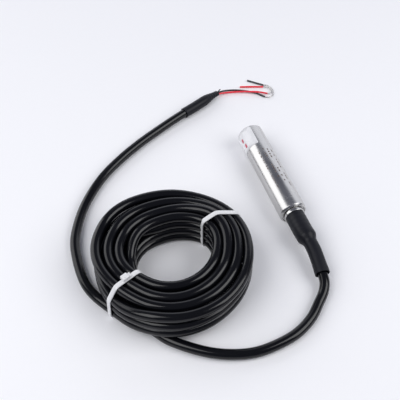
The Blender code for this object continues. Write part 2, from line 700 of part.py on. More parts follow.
def gland_body():
    plug_radius = REAR_BORE - GAP
    plug_rear = GLAND_STATION + GLAND_PLUG_LENGTH
    groove_front = GLAND_STATION + GLAND_GROOVE_INSET
    groove_rear = groove_front + seal_width(GLAND_GROOVE_DEPTH + GAP)
    barb_pitch = NECK_LENGTH / BARB_COUNT
    barbs = []
    for i in range(BARB_COUNT):
        rear = NECK_REAR - barb_pitch * i
        crest = rear - barb_pitch * BARB_RAMP_SHARE
        barbs += [(rear, NECK_RADIUS), (crest, NECK_RADIUS + BARB_HEIGHT)]
        barbs += [(crest - barb_pitch * BARB_FACE_SHARE, NECK_RADIUS)]
    outline = [(NECK_REAR, CABLE_BORE)] + barbs + [
        (COLLAR_REAR, NECK_RADIUS),
        (COLLAR_REAR, COLLAR_RADIUS - CAP_CHAMFER),
        (COLLAR_REAR - CAP_CHAMFER, COLLAR_RADIUS),
        (plug_rear, COLLAR_RADIUS),
        (plug_rear, plug_radius),
        (groove_rear, plug_radius),
        (groove_rear, plug_radius - GLAND_GROOVE_DEPTH),
        (groove_front, plug_radius - GLAND_GROOVE_DEPTH),
        (groove_front, plug_radius),
        (GLAND_STATION, plug_radius),
        (GLAND_STATION, GLAND_CAVITY_RADIUS),
        (CAVITY_REAR, GLAND_CAVITY_RADIUS),
        (CAVITY_REAR, CABLE_BORE),
    ]
    lathe("gland_body", outline, stainless("gland_stainless"))
    o_ring("gland_o_ring", groove_front, REAR_BORE, GLAND_GROOVE_DEPTH)


def gland_seal():
    """The nut squeezes a rubber grommet on the cable between two washers."""
    radius = GLAND_CAVITY_RADIUS - GAP
    washer_metal = finish("washer_brass", (0.70, 0.52, 0.24), 0.35, 1.0)
    nut_metal = stainless("nut_stainless", 0.3)
    nut_radius = GLAND_CAVITY_RADIUS + NUT_OVERHANG
    head_rear = GLAND_STATION - GAP
    nut = rod("compression_nut", head_rear - NUT_HEAD, head_rear, nut_radius, nut_metal, sides=6)
    shank_rear = GLAND_STATION + NUT_SHANK
    shank_front = head_rear - NUT_HEAD / 2
    shank = rod("nut_shank", shank_front, shank_rear, radius, sides=TURNED_SIDES, collection=CUTTERS)
    combine(nut, shank, "UNION")
    bore_front = GLAND_STATION - 2 * NUT_HEAD
    bore_rear = GLAND_STATION + 2 * NUT_SHANK
    bore = rod("nut_bore", bore_front, bore_rear, CABLE_BORE, sides=TURNED_SIDES, collection=CUTTERS)
    combine(nut, bore, "DIFFERENCE")
    stations = {
        "thrust_washer_front": shank_rear + GAP,
        "thrust_washer_rear": CAVITY_REAR - GAP - WASHER_THICKNESS,
    }
    for name, front in stations.items():
        ring(name, front, front + WASHER_THICKNESS, radius, CABLE_BORE, washer_metal)
    grommet_front = stations["thrust_washer_front"] + WASHER_THICKNESS + GAP
    grommet_rear = stations["thrust_washer_rear"] - GAP
    ring("seal_grommet", grommet_front, grommet_rear, radius, CABLE_BORE,
         finish("grommet_rubber", (0.03, 0.03, 0.03), 0.7))


def cable_crimp():
    """A ribbed ring crimped on the jacket, which keeps the cable from pulling out through the nut."""
    front = JACKET_STATION + 2 * GAP
    crest = CABLE_BORE + CRIMP_WALL
    valley = CABLE_BORE + CRIMP_WALL * CRIMP_VALLEY_SHARE
    pitch = CRIMP_LENGTH / CRIMP_RIBS
    outline = []
    for i in range(CRIMP_RIBS, 0, -1):
        rear = front + pitch * i
        outline += [(rear, crest), (rear - pitch / 2, crest), (rear - pitch * 3 / 4, valley)]
    outline += [(front, crest), (front, CABLE_BORE), (front + CRIMP_LENGTH, CABLE_BORE)]
    lathe("cable_crimp", outline, finish("crimp_brass", (0.72, 0.55, 0.25), 0.35, 1.0), sides=SMALL_SIDES)


def at_station(x, station, z):
    return (x, NOSE_Y - station, z)


def relief_points():
    """Centre line of the cable from its stripped end, through the gland, to the heat-shrink's mouth."""
    straight = [JACKET_STATION, GLAND_STATION, COLLAR_REAR, NECK_REAR - NECK_LENGTH / 2, NECK_REAR]
    route = [at_station(0, station, AXIS_HEIGHT) for station in straight]
    route += [at_station(x, HOUSING_LENGTH + back, AXIS_HEIGHT + up) for x, back, up in RELIEF_BEND]
    return smooth_route(route, ROUTE_STEP)


def stretch(points, start, end, step):
    """Evenly spaced points of a route between two distances along it."""
    count = max(2, round((end - start) / step))
    return [point_along(points, start + (end - start) * i / count) for i in range(count + 1)]


def heat_shrinks():
    rubber = finish("shrink_polyolefin", (0.022, 0.022, 0.026), 0.45)
    points = relief_points()
    mouth = route_length(points)
    start = COLLAR_REAR + GAP - JACKET_STATION
    big_end = start + SHRINK_BIG_LENGTH
    small_start = big_end + SHRINK_TAPER_LENGTH
    big = stretch(points, start, big_end, LONG_STEP)
    taper = stretch(points, big_end, small_start, FINE_STEP)
    small = stretch(points, small_start, mouth, LONG_STEP)
    steps = len(taper) - 1
    fall = SHRINK_BIG_RADIUS - SHRINK_SMALL_RADIUS
    shares = [(1 - math.cos(math.pi * i / steps)) / 2 for i in range(steps + 1)]
    radii = [SHRINK_BIG_RADIUS] * (len(big) - 1)
    radii += [SHRINK_BIG_RADIUS - fall * share for share in shares]
    radii += [SHRINK_SMALL_RADIUS] * (len(small) - 1)
    sleeve("heat_shrink_outer", big[:-1] + taper + small[1:], radii, SHRINK_WALL, rubber, resolution=5)
    underlay_start = NECK_REAR + 3 * GAP - JACKET_STATION
    underlay = stretch(points, underlay_start, mouth - UNDERLAY_SETBACK, LONG_STEP)
    underlay_radius = SHRINK_SMALL_RADIUS - SHRINK_WALL - GAP
    sleeve("heat_shrink_inner", underlay, [underlay_radius] * len(underlay), SHRINK_WALL,
           finish("underlay_polyolefin", (0.02, 0.02, 0.022), 0.5), resolution=3)


def cable():
    jacket = finish("cable_jacket", (0.012, 0.012, 0.016), 0.28)
    inside = relief_points()
    cord("cable_entry", inside, CABLE_RADIUS, jacket, diameters=0.7)
    heading = (inside[-1] - inside[-2]).normalized()
    start = inside[-1] + heading * GAP
    cord("cable_probe_lead", [start] + PROBE_LEAD_ROUTE, CABLE_RADIUS, jacket, heading=heading)
    cord("cable_tail_lead", TAIL_LEAD_ROUTE, CABLE_RADIUS, jacket)
    coil = lathe("cable_coil", coil_outline(), jacket, sides=COIL_STEPS, parent=None)
    coil.location = (*COIL_CENTRE, 0)
    return coil


def coil_outline():
    """Outline round the coil's outermost turns, clockwise from the top of its outer side."""
    def turn(layer, index):
        top = layer == COIL_LAYERS - 1
        inner = TOP_INNER_TURN_RADIUS if top else INNER_TURN_RADIUS
        pitch = TOP_TURN_PITCH if top else TURN_PITCH
        return inner + pitch * index, CABLE_RADIUS * (2 * layer + 1)

    layers, turns = range(COIL_LAYERS), range(COIL_TURNS)
    sides = [
        (0, [turn(layer, COIL_TURNS - 1) for layer in reversed(layers)]),
        (-90, [turn(0, index) for index in reversed(turns)]),
        (180, [turn(layer, 0) for layer in layers]),
        (90, [turn(COIL_LAYERS - 1, index) for index in turns]),
    ]
    outline = []
    reach = CABLE_RADIUS / math.cos(math.radians(COIL_CREST_ANGLE))
    for normal, centres in sides:
        for i, (radius, height) in enumerate(centres):
            for offset in (COIL_CREST_ANGLE, -COIL_CREST_ANGLE):
                angle = math.radians(normal + offset)
                outline.append((height + reach * math.sin(angle), radius + reach * math.cos(angle)))
            if i < len(centres) - 1:
                next_radius, next_height = centres[i + 1]
                valley = CABLE_RADIUS * COIL_VALLEY_SHARE
                angle = math.radians(normal)
                outline.append(((height + next_height) / 2 + valley * math.sin(angle),
                                (radius + next_radius) / 2 + valley * math.cos(angle)))
    return outline


def strap_loop(grow):
    """A rounded rectangle round the coil's section, moved out by grow, as (radius, height) points."""
    corner = CABLE_RADIUS + GAP + grow
    left, right = COIL_BORE - GAP - grow, COIL_RADIUS + GAP + grow
    low, high = TIE_THICKNESS - grow, COIL_HEIGHT + GAP + grow
    loop = []
    for x, z, start in ((right, high, 0), (left, high, 90), (left, low, 180), (right, low, 270)):
        cx = x - corner if x == right else x + corner
        cz = z - corner if z == high else z + corner
        for i in range(5):
            angle = math.radians(start + 90 * i / 4)
            loop.append((cx + corner * math.cos(angle), cz + corner * math.sin(angle)))
    return loop


def strap_ring(name, inner, outer, width, angle, collection, material=None):
    """The band between two strap loops, standing in the coil's radial plane."""
    curve = bpy.data.curves.new(name, "CURVE")
    curve.dimensions = "2D"
    curve.fill_mode = "BOTH"
    curve.extrude = width / 2
    for loop in (outer, inner):
        spline = curve.splines.new("POLY")
        spline.points.add(len(loop) - 1)
        spline.use_cyclic_u = True
        for point, (radius, height) in zip(spline.points, loop):
            point.co = (radius, height, 0, 1)
    obj = bpy.data.objects.new(name, curve)
    collection.objects.link(obj)
    obj.location = (*COIL_CENTRE, 0)
    obj.rotation_euler = (math.pi / 2, 0, math.radians(angle))
    obj = baked(obj)
    if material:
        obj.data.materials.append(material)
    return obj


def cable_ties(coil):
    nylon = finish("tie_nylon", (0.85, 0.85, 0.84), 0.35)
    for name, angle in TIE_ANGLES.items():
        groove = strap_ring(name + "_groove", strap_loop(-GAP), strap_loop(3 * TIE_THICKNESS),
                            TIE_WIDTH + 2 * GAP, angle, CUTTERS)
        combine(coil, groove, "DIFFERENCE")
        strap = strap_ring(name, strap_loop(0), strap_loop(TIE_THICKNESS), TIE_WIDTH, angle, PARTS, nylon)
        length, width, height = TIE_HEAD_SIZE
        if TIE_HEAD_ON_TOP[name]:
            seat, tilt = (TIE_HEAD_RADIUS, 0, COIL_HEIGHT + GAP), 0.0
        else:
            seat, tilt = (COIL_RADIUS + GAP, 0, TIE_HEAD_HEIGHT), math.pi / 2
        place = Matrix.Translation((*COIL_CENTRE, 0)) @ Matrix.Rotation(math.radians(angle), 4, "Z")
        place = place @ Matrix.Translation(seat) @ Matrix.Rotation(tilt, 4, "Y")
        head = box(name + "_head", TIE_HEAD_SIZE, (0, 0, 0), nylon, bevel=TIE_HEAD_EDGE, parent=None,
                   collection=CUTTERS)
        head.matrix_world = place @ Matrix.Translation((0, 0, height / 2))
        stub_size = (length + TIE_STUB, TIE_WIDTH, TIE_THICKNESS)
        stub = box(name + "_stub", stub_size, (0, 0, 0), nylon, parent=None, collection=CUTTERS)
        stub.matrix_world = place @ Matrix.Translation((TIE_STUB, 0, height * TIE_STUB_LEVEL))
        combine(strap, head, "UNION")
        combine(strap, stub, "UNION")


def tail_end():
    """Shrunk sleeve over the cable's end, the vent capillary and the two stripped wires."""
    points = smooth_route(TAIL_SLEEVE_ROUTE, ROUTE_STEP)
    length = route_length(points)
    taper = TAIL_SLEEVE_TAPER
    radii = []
    for i in range(len(points)):
        share = max(0.0, (length * i / (len(points) - 1) - (length - taper)) / taper)
        radii.append(TAIL_SLEEVE_RADIUS + (TAIL_SLEEVE_TIP_RADIUS - TAIL_SLEEVE_RADIUS) * share)
    sleeve("tail_sleeve", points, radii, TAIL_SLEEVE_WALL,
           finish("tail_shrink", (0.022, 0.022, 0.026), 0.45), resolution=3)
    capillary = smooth_route(CAPILLARY_ROUTE, ROUTE_STEP)
    capillary_wall = CAPILLARY_RADIUS - CAPILLARY_BORE
    sleeve("vent_capillary", capillary, [CAPILLARY_RADIUS] * len(capillary), capillary_wall,
           finish("capillary_nylon", (0.05, 0.05, 0.06), 0.4), resolution=1)
    tinned = finish("tinned_copper", (0.72, 0.70, 0.68), 0.35, 1.0)
    wires = (
        ("red", (0.62, 0.02, 0.03), RED_WIRE_ROUTE, RED_STRAND_ROUTE, RED_SLUG_ROUTE),
        ("black", (0.02, 0.02, 0.024), BLACK_WIRE_ROUTE, BLACK_STRAND_ROUTE, BLACK_SLUG_ROUTE),
    )
    for color_name, color, wire_route, strand_route, slug_route in wires:
        insulation = finish(f"pvc_{color_name}", color, 0.35)
        cord(f"wire_{color_name}", wire_route, WIRE_RADIUS, insulation, resolution=2)
        cord(f"strands_{color_name}", strand_route, STRAND_RADIUS, tinned, resolution=2)
        slug = smooth_route(slug_route, LONG_STEP)
        sleeve(f"slug_{color_name}", slug, [WIRE_RADIUS] * len(slug), SLUG_WALL, insulation, resolution=2)


housing()
nose_cap()
retaining_ring()
diaphragm()
sensor_capsule()
o_ring("capsule_o_ring", CAPSULE_GROOVE_STATION, FRONT_BORE, CAPSULE_GROOVE_DEPTH)
header()
header_leads()
insulating_sleeve()
board_holder("board_holder_front", FRONT_HOLDER_STATION)
board_holder("board_holder_rear", REAR_HOLDER_STATION)
circuit_board()
inner_wiring()
gland_body()
gland_seal()
cable_crimp()
heat_shrinks()
cable_ties(cable())
tail_end()
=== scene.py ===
"""Looks of a submersible liquid level sensor: a turned stainless probe beside its own coiled, tied cable.

The frame is in metres. The probe lies along Y with its nose at +Y and touches z = 0, and the coil is at -X.
"""

import math

import bmesh
import bpy
import numpy as np
from mathutils import Matrix, Vector


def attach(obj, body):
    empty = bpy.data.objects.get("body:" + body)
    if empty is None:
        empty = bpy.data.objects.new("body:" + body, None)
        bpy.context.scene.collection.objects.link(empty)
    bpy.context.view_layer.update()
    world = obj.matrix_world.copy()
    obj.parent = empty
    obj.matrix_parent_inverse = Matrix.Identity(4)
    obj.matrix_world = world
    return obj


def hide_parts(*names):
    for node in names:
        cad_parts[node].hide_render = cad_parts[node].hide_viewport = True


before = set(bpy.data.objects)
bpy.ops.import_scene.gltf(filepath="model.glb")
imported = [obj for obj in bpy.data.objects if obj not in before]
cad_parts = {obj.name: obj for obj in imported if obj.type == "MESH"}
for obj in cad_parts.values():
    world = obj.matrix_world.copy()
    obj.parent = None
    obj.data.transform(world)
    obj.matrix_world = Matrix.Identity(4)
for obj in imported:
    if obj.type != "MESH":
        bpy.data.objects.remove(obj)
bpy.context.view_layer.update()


# Studio: a small product table with a softbox over each front corner, a large panel on its left and a
# pale wall behind. The paper sweep is one pale sheet.
def put(tree, kind, inputs=(), **settings):
    """Adds a node to a tree; inputs gives values or sockets by socket name or number."""
    made = tree.nodes.new(kind)
    for key, value in settings.items():
        setattr(made, key, value)
    for key, value in dict(inputs).items():
        socket = made.inputs[key]
        if isinstance(value, bpy.types.NodeSocket):
            tree.links.new(value, socket)
        else:
            socket.default_value = value
    return made


def maths(tree, operation, *values, **settings):
    """The result of a math node, for these numbers or sockets."""
    return put(tree, "ShaderNodeMath", enumerate(values), operation=operation, **settings).outputs[0]


def placed(name, data):
    """A new object with this data, in the scene."""
    made = bpy.data.objects.new(name, data)
    bpy.context.scene.collection.objects.link(made)
    return made


camera = placed("camera", bpy.data.cameras.new("camera"))
camera.data.lens = 63.0
camera.data.sensor_width = 36.0
camera.location = (-0.1815, -0.3477, 0.4359)
looking_at = Vector((-0.0623, 0.0079, 0.0))
camera.rotation_euler = (looking_at - camera.location).to_track_quat("-Z", "Y").to_euler()
bpy.context.scene.camera = camera

table_turn = Matrix.Rotation(math.radians(-18.5), 3, "Z")


def softbox(name, side, away, up, width, height, glow, tint=(1.0, 1.0, 1.0)):
    """A softbox in metres from the table's middle, as the camera sees it: to the right, away and up."""
    light = bpy.data.lights.new(name, "AREA")
    light.shape = "RECTANGLE"
    light.size, light.size_y = width, height
    light.energy = glow * math.pi * width * height
    light.color = tint
    lamp = placed(name, light)
    lamp.location = looking_at + table_turn @ Vector((side, away, up))
    lamp.rotation_euler = (looking_at - lamp.location).to_track_quat("-Z", "Y").to_euler()


softbox("left_panel", -1.15, 0.62, 0.55, 1.30, 1.10, 1.80)
softbox("left_key", -0.62, -0.46, 0.90, 0.80, 0.80, 3.3)
softbox("right_key", 0.88, -0.16, 0.82, 0.84, 0.80, 3.5)
softbox("back_wall", 0.35, 1.30, 0.52, 2.00, 1.15, 0.95, (0.93, 0.95, 1.0))

world = bpy.data.worlds.new("studio_walls")
bpy.context.scene.world = world
world.use_nodes = True
world.node_tree.nodes["Background"].inputs["Color"].default_value = (0.76, 0.80, 1.0, 1.0)
world.node_tree.nodes["Background"].inputs["Strength"].default_value = 0.19

paper = bpy.data.materials.new("sweep_paper")
paper.use_nodes = True
tree = paper.node_tree
place = put(tree, "ShaderNodeTexCoord")
fibre = put(tree, "ShaderNodeTexNoise", {"Vector": place.outputs["Object"], "Scale": 260.0, "Detail": 3.0})
shade = put(tree, "ShaderNodeMix",
            {0: fibre.outputs["Fac"], 6: (0.935, 0.935, 0.955, 1), 7: (0.95, 0.948, 0.97, 1)},
            data_type="RGBA")
tree.links.new(shade.outputs[2], tree.nodes["Principled BSDF"].inputs["Base Color"])
tree.nodes["Principled BSDF"].inputs["Roughness"].default_value = 0.8
tree.nodes["Principled BSDF"].inputs["Specular IOR Level"].default_value = 0.2
sheet = bpy.data.meshes.new("sweep")
SHEET_REACH, SHEET_DROP = 3.0, -0.0001
corners = [(x * SHEET_REACH, y * SHEET_REACH, SHEET_DROP) for x, y in ((-1, -1), (1, -1), (1, 1), (-1, 1))]
sheet.from_pydata(corners, [], [(0, 1, 2, 3)])
sheet.materials.append(paper)
sweep = placed("sweep", sheet)


# Cable: a 7.6 mm vented cable with a glossy black jacket. It comes out of the probe's heat-shrink, lies
# round to the coil, goes through fourteen turns in four layers and leaves as the tail.
STEPS_PER_SPAN = 12


def smooth_route(points, spacing):
    """Evenly spaced points on a centripetal spline through the given ones."""
    knots = [np.array(p, float) for p in points]
    knots = [2 * knots[0] - knots[1], *knots, 2 * knots[-1] - knots[-2]]
    dense = []
    for a, b, c, d in zip(knots, knots[1:], knots[2:], knots[3:]):
        ta, tb, tc = (np.linalg.norm(q - p) ** 0.5 for p, q in ((a, b), (b, c), (c, d)))
        slope_b = tb * ((b - a) / ta - (c - a) / (ta + tb) + (c - b) / tb)
        slope_c = tb * ((c - b) / tb - (d - b) / (tb + tc) + (d - c) / tc)
        for t in np.arange(STEPS_PER_SPAN) / STEPS_PER_SPAN:
            dense.append(
                b * (2 * t**3 - 3 * t**2 + 1) + slope_b * (t**3 - 2 * t**2 + t)
                + c * (3 * t**2 - 2 * t**3) + slope_c * (t**3 - t**2)
            )
    dense = np.array([*dense, knots[-2]])
    along = np.concatenate([[0], np.cumsum(np.linalg.norm(np.diff(dense, axis=0), axis=1))])
    even = np.linspace(0, along[-1], max(3, round(along[-1] / spacing) + 1))
    return np.stack([np.interp(even, along, dense[:, k]) for k in range(3)], axis=1)


def run_length(path):
    """Length of a path in metres."""
    return float(np.linalg.norm(np.diff(path, axis=0), axis=1).sum())


def faced_outwards(mesh, merge=False):
    """Turns a mesh's faces outwards, after joining the points that lie on each other if asked."""
    work = bmesh.new()
    work.from_mesh(mesh)
    if merge:
        bmesh.ops.remove_doubles(work, verts=work.verts, dist=1e-7)
    bmesh.ops.recalc_face_normals(work, faces=work.faces)
    work.to_mesh(mesh)
    work.free()
    mesh.shade_smooth()


def swept(name, path, profile, caps=True):
    """A mesh swept along the path. profile(share, distance) gives the section's (across, up) points.

    It carries the attribute lay: the point's place on the piece as if it were pulled straight along X.
    """
    path = np.asarray(path, float)
    tangents = np.gradient(path, axis=0)
    tangents /= np.linalg.norm(tangents, axis=1)[:, None]
    side = np.cross(tangents[0], (0, 0, 1.0))
    side /= np.linalg.norm(side)
    distance = np.concatenate([[0], np.cumsum(np.linalg.norm(np.diff(path, axis=0), axis=1))])
    points, lay = [], []
    for i, (centre, tangent) in enumerate(zip(path, tangents)):
        side = side - tangent * (side @ tangent)
        side /= np.linalg.norm(side)
        up = np.cross(side, tangent)
        for across, rise in profile(distance[i] / distance[-1], distance[i]):
            points.append(centre + side * across + up * rise)
            lay.append((distance[i], across, rise))
    count = len(points) // len(path)
    rows = [list(range(i * count, (i + 1) * count)) for i in range(len(path))]
    faces = []
    for low, high in zip(rows, rows[1:]):
        for j in range(count):
            k = (j + 1) % count
            faces.append((low[j], low[k], high[k], high[j]))
    if caps:
        faces += [rows[0][::-1], rows[-1]]
    mesh = bpy.data.meshes.new(name)
    mesh.from_pydata([tuple(p) for p in points], [], faces)
    straight = mesh.attributes.new("lay", "FLOAT_VECTOR", "POINT")
    straight.data.foreach_set("vector", np.array(lay, np.float32).ravel())
    faced_outwards(mesh)
    mesh.set_sharp_from_angle(angle=math.radians(38))
    return placed(name, mesh)


def circle(radius, sides):
    turn = np.arange(sides) * 2 * math.pi / sides
    return np.stack([radius * np.cos(turn), radius * np.sin(turn)], axis=1)


def skin_group():
    """Fine life of a surface: slow tone changes, roughness that varies, and a small grain."""
    group = bpy.data.node_groups.new("surface skin", "ShaderNodeTree")
    for label, kind, value in (
        ("Vector", "NodeSocketVector", None), ("Tone Scale", "NodeSocketFloat", 90.0),
        ("Grain Scale", "NodeSocketFloat", 1800.0), ("Least Roughness", "NodeSocketFloat", 0.3),
        ("Most Roughness", "NodeSocketFloat", 0.45), ("Scuff", "NodeSocketFloat", 0.3),
    ):
        socket = group.interface.new_socket(label, in_out="INPUT", socket_type=kind)
        if value is not None:
            socket.default_value = value
    for label in ("Tone", "Roughness", "Height"):
        group.interface.new_socket(label, in_out="OUTPUT", socket_type="NodeSocketFloat")
    given = put(group, "NodeGroupInput").outputs
    slow = put(group, "ShaderNodeTexNoise",
               {"Vector": given["Vector"], "Scale": given["Tone Scale"], "Detail": 4.0})
    spread = maths(group, "MULTIPLY", given["Tone Scale"], 3.7)
    patches = put(group, "ShaderNodeTexNoise",
                  {"Vector": given["Vector"], "Scale": spread, "Detail": 5.0, "Roughness": 0.62})
    scuffs = put(group, "ShaderNodeMapRange", {0: patches.outputs["Fac"], 1: 0.58, 2: 0.78})
    worn = maths(group, "MULTIPLY", scuffs.outputs[0], given["Scuff"])
    share = maths(group, "ADD", slow.outputs["Fac"], worn, use_clamp=True)
    rough = put(group, "ShaderNodeMapRange",
                {0: share, 1: 0.3, 2: 0.8, 3: given["Least Roughness"], 4: given["Most Roughness"]})
    grain = put(group, "ShaderNodeTexNoise",
                {"Vector": given["Vector"], "Scale": given["Grain Scale"], "Detail": 2.0})
    put(group, "NodeGroupOutput",
        {"Tone": share, "Roughness": rough.outputs[0], "Height": grain.outputs["Fac"]})
    return group


surface_skin = skin_group()


def skinned(name, deep, pale, least, most, tone_scale=90.0, grain_scale=1800.0, scuff=0.3, bump=0.15,
            depth=0.00003,
            attribute=None, stretch=(1.0, 1.0, 1.0), **sockets):
    """A Principled material between two colours and two roughnesses. It names its skin and colour nodes."""
    material = bpy.data.materials.new(name)
    material.use_nodes = True
    tree = material.node_tree
    shader = tree.nodes["Principled BSDF"]
    if attribute:
        where = put(tree, "ShaderNodeAttribute", attribute_name=attribute).outputs["Vector"]
    else:
        where = put(tree, "ShaderNodeTexCoord").outputs["Object"]
    where = put(tree, "ShaderNodeMapping", {"Vector": where, "Scale": stretch}).outputs[0]
    skin = put(tree, "ShaderNodeGroup", node_tree=surface_skin, name="skin")
    tree.links.new(where, skin.inputs["Vector"])
    for key, value in (("Tone Scale", tone_scale), ("Grain Scale", grain_scale), ("Least Roughness", least),
                       ("Most Roughness", most), ("Scuff", scuff)):
        skin.inputs[key].default_value = value
    colour = put(tree, "ShaderNodeMix", {0: skin.outputs["Tone"], 6: (*deep, 1), 7: (*pale, 1)},
                 data_type="RGBA",
                 name="colour")
    tree.links.new(colour.outputs[2], shader.inputs["Base Color"])
    tree.links.new(skin.outputs["Roughness"], shader.inputs["Roughness"])
    relief = put(tree, "ShaderNodeBump",
                 {"Strength": bump, "Distance": depth, "Height": skin.outputs["Height"]})
    tree.links.new(relief.outputs[0], shader.inputs["Normal"])
    for key, value in sockets.items():
        shader.inputs[key.replace("_", " ")].default_value = value
    return material


CABLE_RADIUS = 0.0038
CABLE_SIDES = 28
JACKET_BLACK = (0.0017, 0.0018, 0.0027)
JACKET_WORN = (0.0040, 0.0043, 0.0062)
MOUTH = (-0.0010, -0.0950, 0.0070)          # of the heat-shrink, where the cable comes out
HOUSING_RADIUS = 0.0110
AXIS_HEIGHT = HOUSING_RADIUS                # the housing lies on the table
GLAND_RUN = [
    *((0, y, AXIS_HEIGHT) for y in (-0.0170, -0.0270, -0.0410, -0.0490, -0.0570)),
    (0.0006, -0.0650, 0.0108), (0.0009, -0.0740, 0.0101), (0.0002, -0.0840, 0.0086), MOUTH,
]
PROBE_LEAD = [
    (-0.0024, -0.1020, 0.0059), (-0.0064, -0.1088, 0.0046), (-0.0130, -0.1155, 0.0039),
    (-0.0230, -0.1250, 0.0038), (-0.0370, -0.1330, 0.0038), (-0.0530, -0.1370, 0.0038),
    (-0.0710, -0.1380, 0.0038), (-0.0880, -0.1340, 0.0038), (-0.1040, -0.1262, 0.0038),
]
TAIL_LEAD = [
    (-0.1700, -0.0420, 0.0038), (-0.1707, -0.0250, 0.0038), (-0.1690, -0.0060, 0.0038),
    (-0.1630, 0.0110, 0.0038), (-0.1520, 0.0310, 0.0038), (-0.1330, 0.0540, 0.0038),
    (-0.1120, 0.0710, 0.0038), (-0.0900, 0.0850, 0.0038), (-0.0690, 0.0960, 0.0040),
    (-0.0550, 0.1025, 0.0046), (-0.0440, 0.1074, 0.0048), (-0.0350, 0.1112, 0.0048),
    (-0.0260, 0.1153, 0.0048),
]
COIL_CENTRE = np.array((-0.1047, -0.0551))
# Bearings and angles wound are in degrees. The cable winds clockwise from COIL_FRONT, the coil's near
# side, and goes through the slots of WOUND, each named by its layer and its column. It steps to the next
# column at STEP_OVER, climbs a layer at CLIMB and comes down a layer on the outside at DROP, each within
# a half angle. COIL_PITCH is the angle between two points. Column radii are in millimetres at each
# bearing. The lowest cords spread on the table past the near tie, and the far tie pinches the columns
# past each other.
COIL_FRONT = -108.5
WOUND = ["02", "01", "00", "10", "11", "12", "22", "21", "20", "30", "31", "32", "33", "23", "13", "03"]
STEP_OVER = {"0": -4.5, "1": -88.5, "2": -226.5, "3": -292.5}
CLIMB = {"0": -46.5, "1": -151.5, "2": -258.0}
DROP = -330.5
STEP_HALF, STEEP_STEP_HALF, CLIMB_HALF, DROP_HALF = 42.0, 32.0, 34.0, 30.0
COIL_START, COIL_END, COIL_PITCH = 56.0, 360 * 14 + 46.0, 7.5
TOP_COLUMNS = {
    -160: (31.0, 39.0, 46.6, 54.2), -105: (29.3, 38.4, 46.2, 54.4), -60: (29.4, 37.8, 46.2, 54.8),
    -18: (32.4, 40.0, 47.6, 55.4), 24: (38.0, 44.8, 51.8, 59.0), 60: (34.2, 41.6, 49.0, 57.0),
    90: (31.6, 39.4, 47.8, 57.0), 120: (31.6, 39.8, 48.6, 59.0), 150: (31.4, 39.3, 47.6, 57.0),
}
LOW_COLUMNS = {
    -160: (30.2, 37.9, 45.5, 53.1), -105: (29.2, 36.9, 44.6, 56.4), -60: (29.4, 37.1, 44.8, 54.6),
    -18: (32.4, 40.0, 47.6, 55.4), 24: (38.0, 44.8, 51.8, 59.0), 60: (34.2, 41.6, 49.0, 56.8),
    90: (31.4, 39.1, 46.8, 55.0), 120: (31.2, 38.9, 46.6, 55.0), 150: (31.0, 38.7, 46.4, 54.2),
}
NEAR_TIE_BEARING = -162
SPREAD_PER_COLUMN = 0.0032
SPREAD_GROWS, SPREAD_HOLDS, SPREAD_FADES = 60, 90, 45
PINCH_BEARING, PINCH_SPREAD = 24, 36.0
PINCH_LIFTS = (0.0, 0.0034, 0.0, -0.0038)


def ease(t):
    t = np.clip(t, 0, 1)
    return t * t * t * (t * (6 * t - 15) + 10)


def column_radius(places, column, bearing):
    """Radius of a column's cord at this bearing, on a smooth curve through the places given, in metres."""
    stops = sorted(places)
    count = len(stops)
    bearing = (bearing - stops[0]) % 360 + stops[0]
    k = sum(stop <= bearing for stop in stops) - 1
    at = [stops[i % count] + 360 * (i // count) for i in range(k - 1, k + 3)]
    value = [places[stops[i % count]][column] for i in range(k - 1, k + 3)]
    slopes = [(value[i + 1] - value[i - 1]) / (at[i + 1] - at[i - 1]) * (at[2] - at[1]) for i in (1, 2)]
    t = (bearing - at[1]) / (at[2] - at[1])
    return 0.001 * (
        value[1] * (2 * t**3 - 3 * t**2 + 1) + slopes[0] * (t**3 - 2 * t**2 + t)
        + value[2] * (3 * t**2 - 2 * t**3) + slopes[1] * (t**3 - t**2))


def slot_place(slot, bearing):
    """Radius and height of the cord in this slot at this bearing."""
    layer, column = int(WOUND[slot][0]), int(WOUND[slot][1])
    radius = column_radius(TOP_COLUMNS if layer == 3 else LOW_COLUMNS, column, bearing)
    if layer == 0:
        past_tie = (NEAR_TIE_BEARING - bearing) % 360
        spread = ease(past_tie / SPREAD_GROWS) * (1 - ease((past_tie - SPREAD_HOLDS) / SPREAD_FADES))
        radius += SPREAD_PER_COLUMN * column * float(spread)
    off = (bearing - PINCH_BEARING + 180) % 360 - 180
    lift = PINCH_LIFTS[column] * math.exp(-(off / PINCH_SPREAD) ** 2)
    return radius, CABLE_RADIUS * (2 * layer + 1) + lift


def passing(slot):
    """Where and how quickly the cable passes from this slot to the next one, in degrees wound."""
    here, there = WOUND[slot], WOUND[slot + 1]
    if here[0] == there[0]:
        return 360 * (slot + 1) + STEP_OVER[here[0]], STEEP_STEP_HALF if here[0] == "2" else STEP_HALF
    if here[0] < there[0]:
        return 360 * (slot + 1) + CLIMB[here[0]], CLIMB_HALF
    return 360 * (slot + 1) + DROP, DROP_HALF


def coil_point(wound):
    """Centre of the cable at this angle wound, in degrees."""
    bearing = COIL_FRONT - wound
    radius, height = slot_place(0, bearing)
    for slot in range(len(WOUND) - 1):
        turn, half = passing(slot)
        if wound > turn - half:
            share = ease((wound - turn + half) / (2 * half))
            start, goal = slot_place(slot, bearing), slot_place(slot + 1, bearing)
            radius = start[0] + (goal[0] - start[0]) * share
            height = start[1] + (goal[1] - start[1]) * share
    angle = math.radians(bearing)
    return (*(COIL_CENTRE + radius * np.array((math.cos(angle), math.sin(angle)))), height)


def on_floor(places):
    """Points on the table at these (bearing, radius in millimetres) from the coil's centre."""
    made = []
    for bearing, radius in places:
        angle = math.radians(bearing)
        outward = np.array((math.cos(angle), math.sin(angle)))
        made.append((*(COIL_CENTRE + 0.001 * radius * outward), CABLE_RADIUS))
    return made


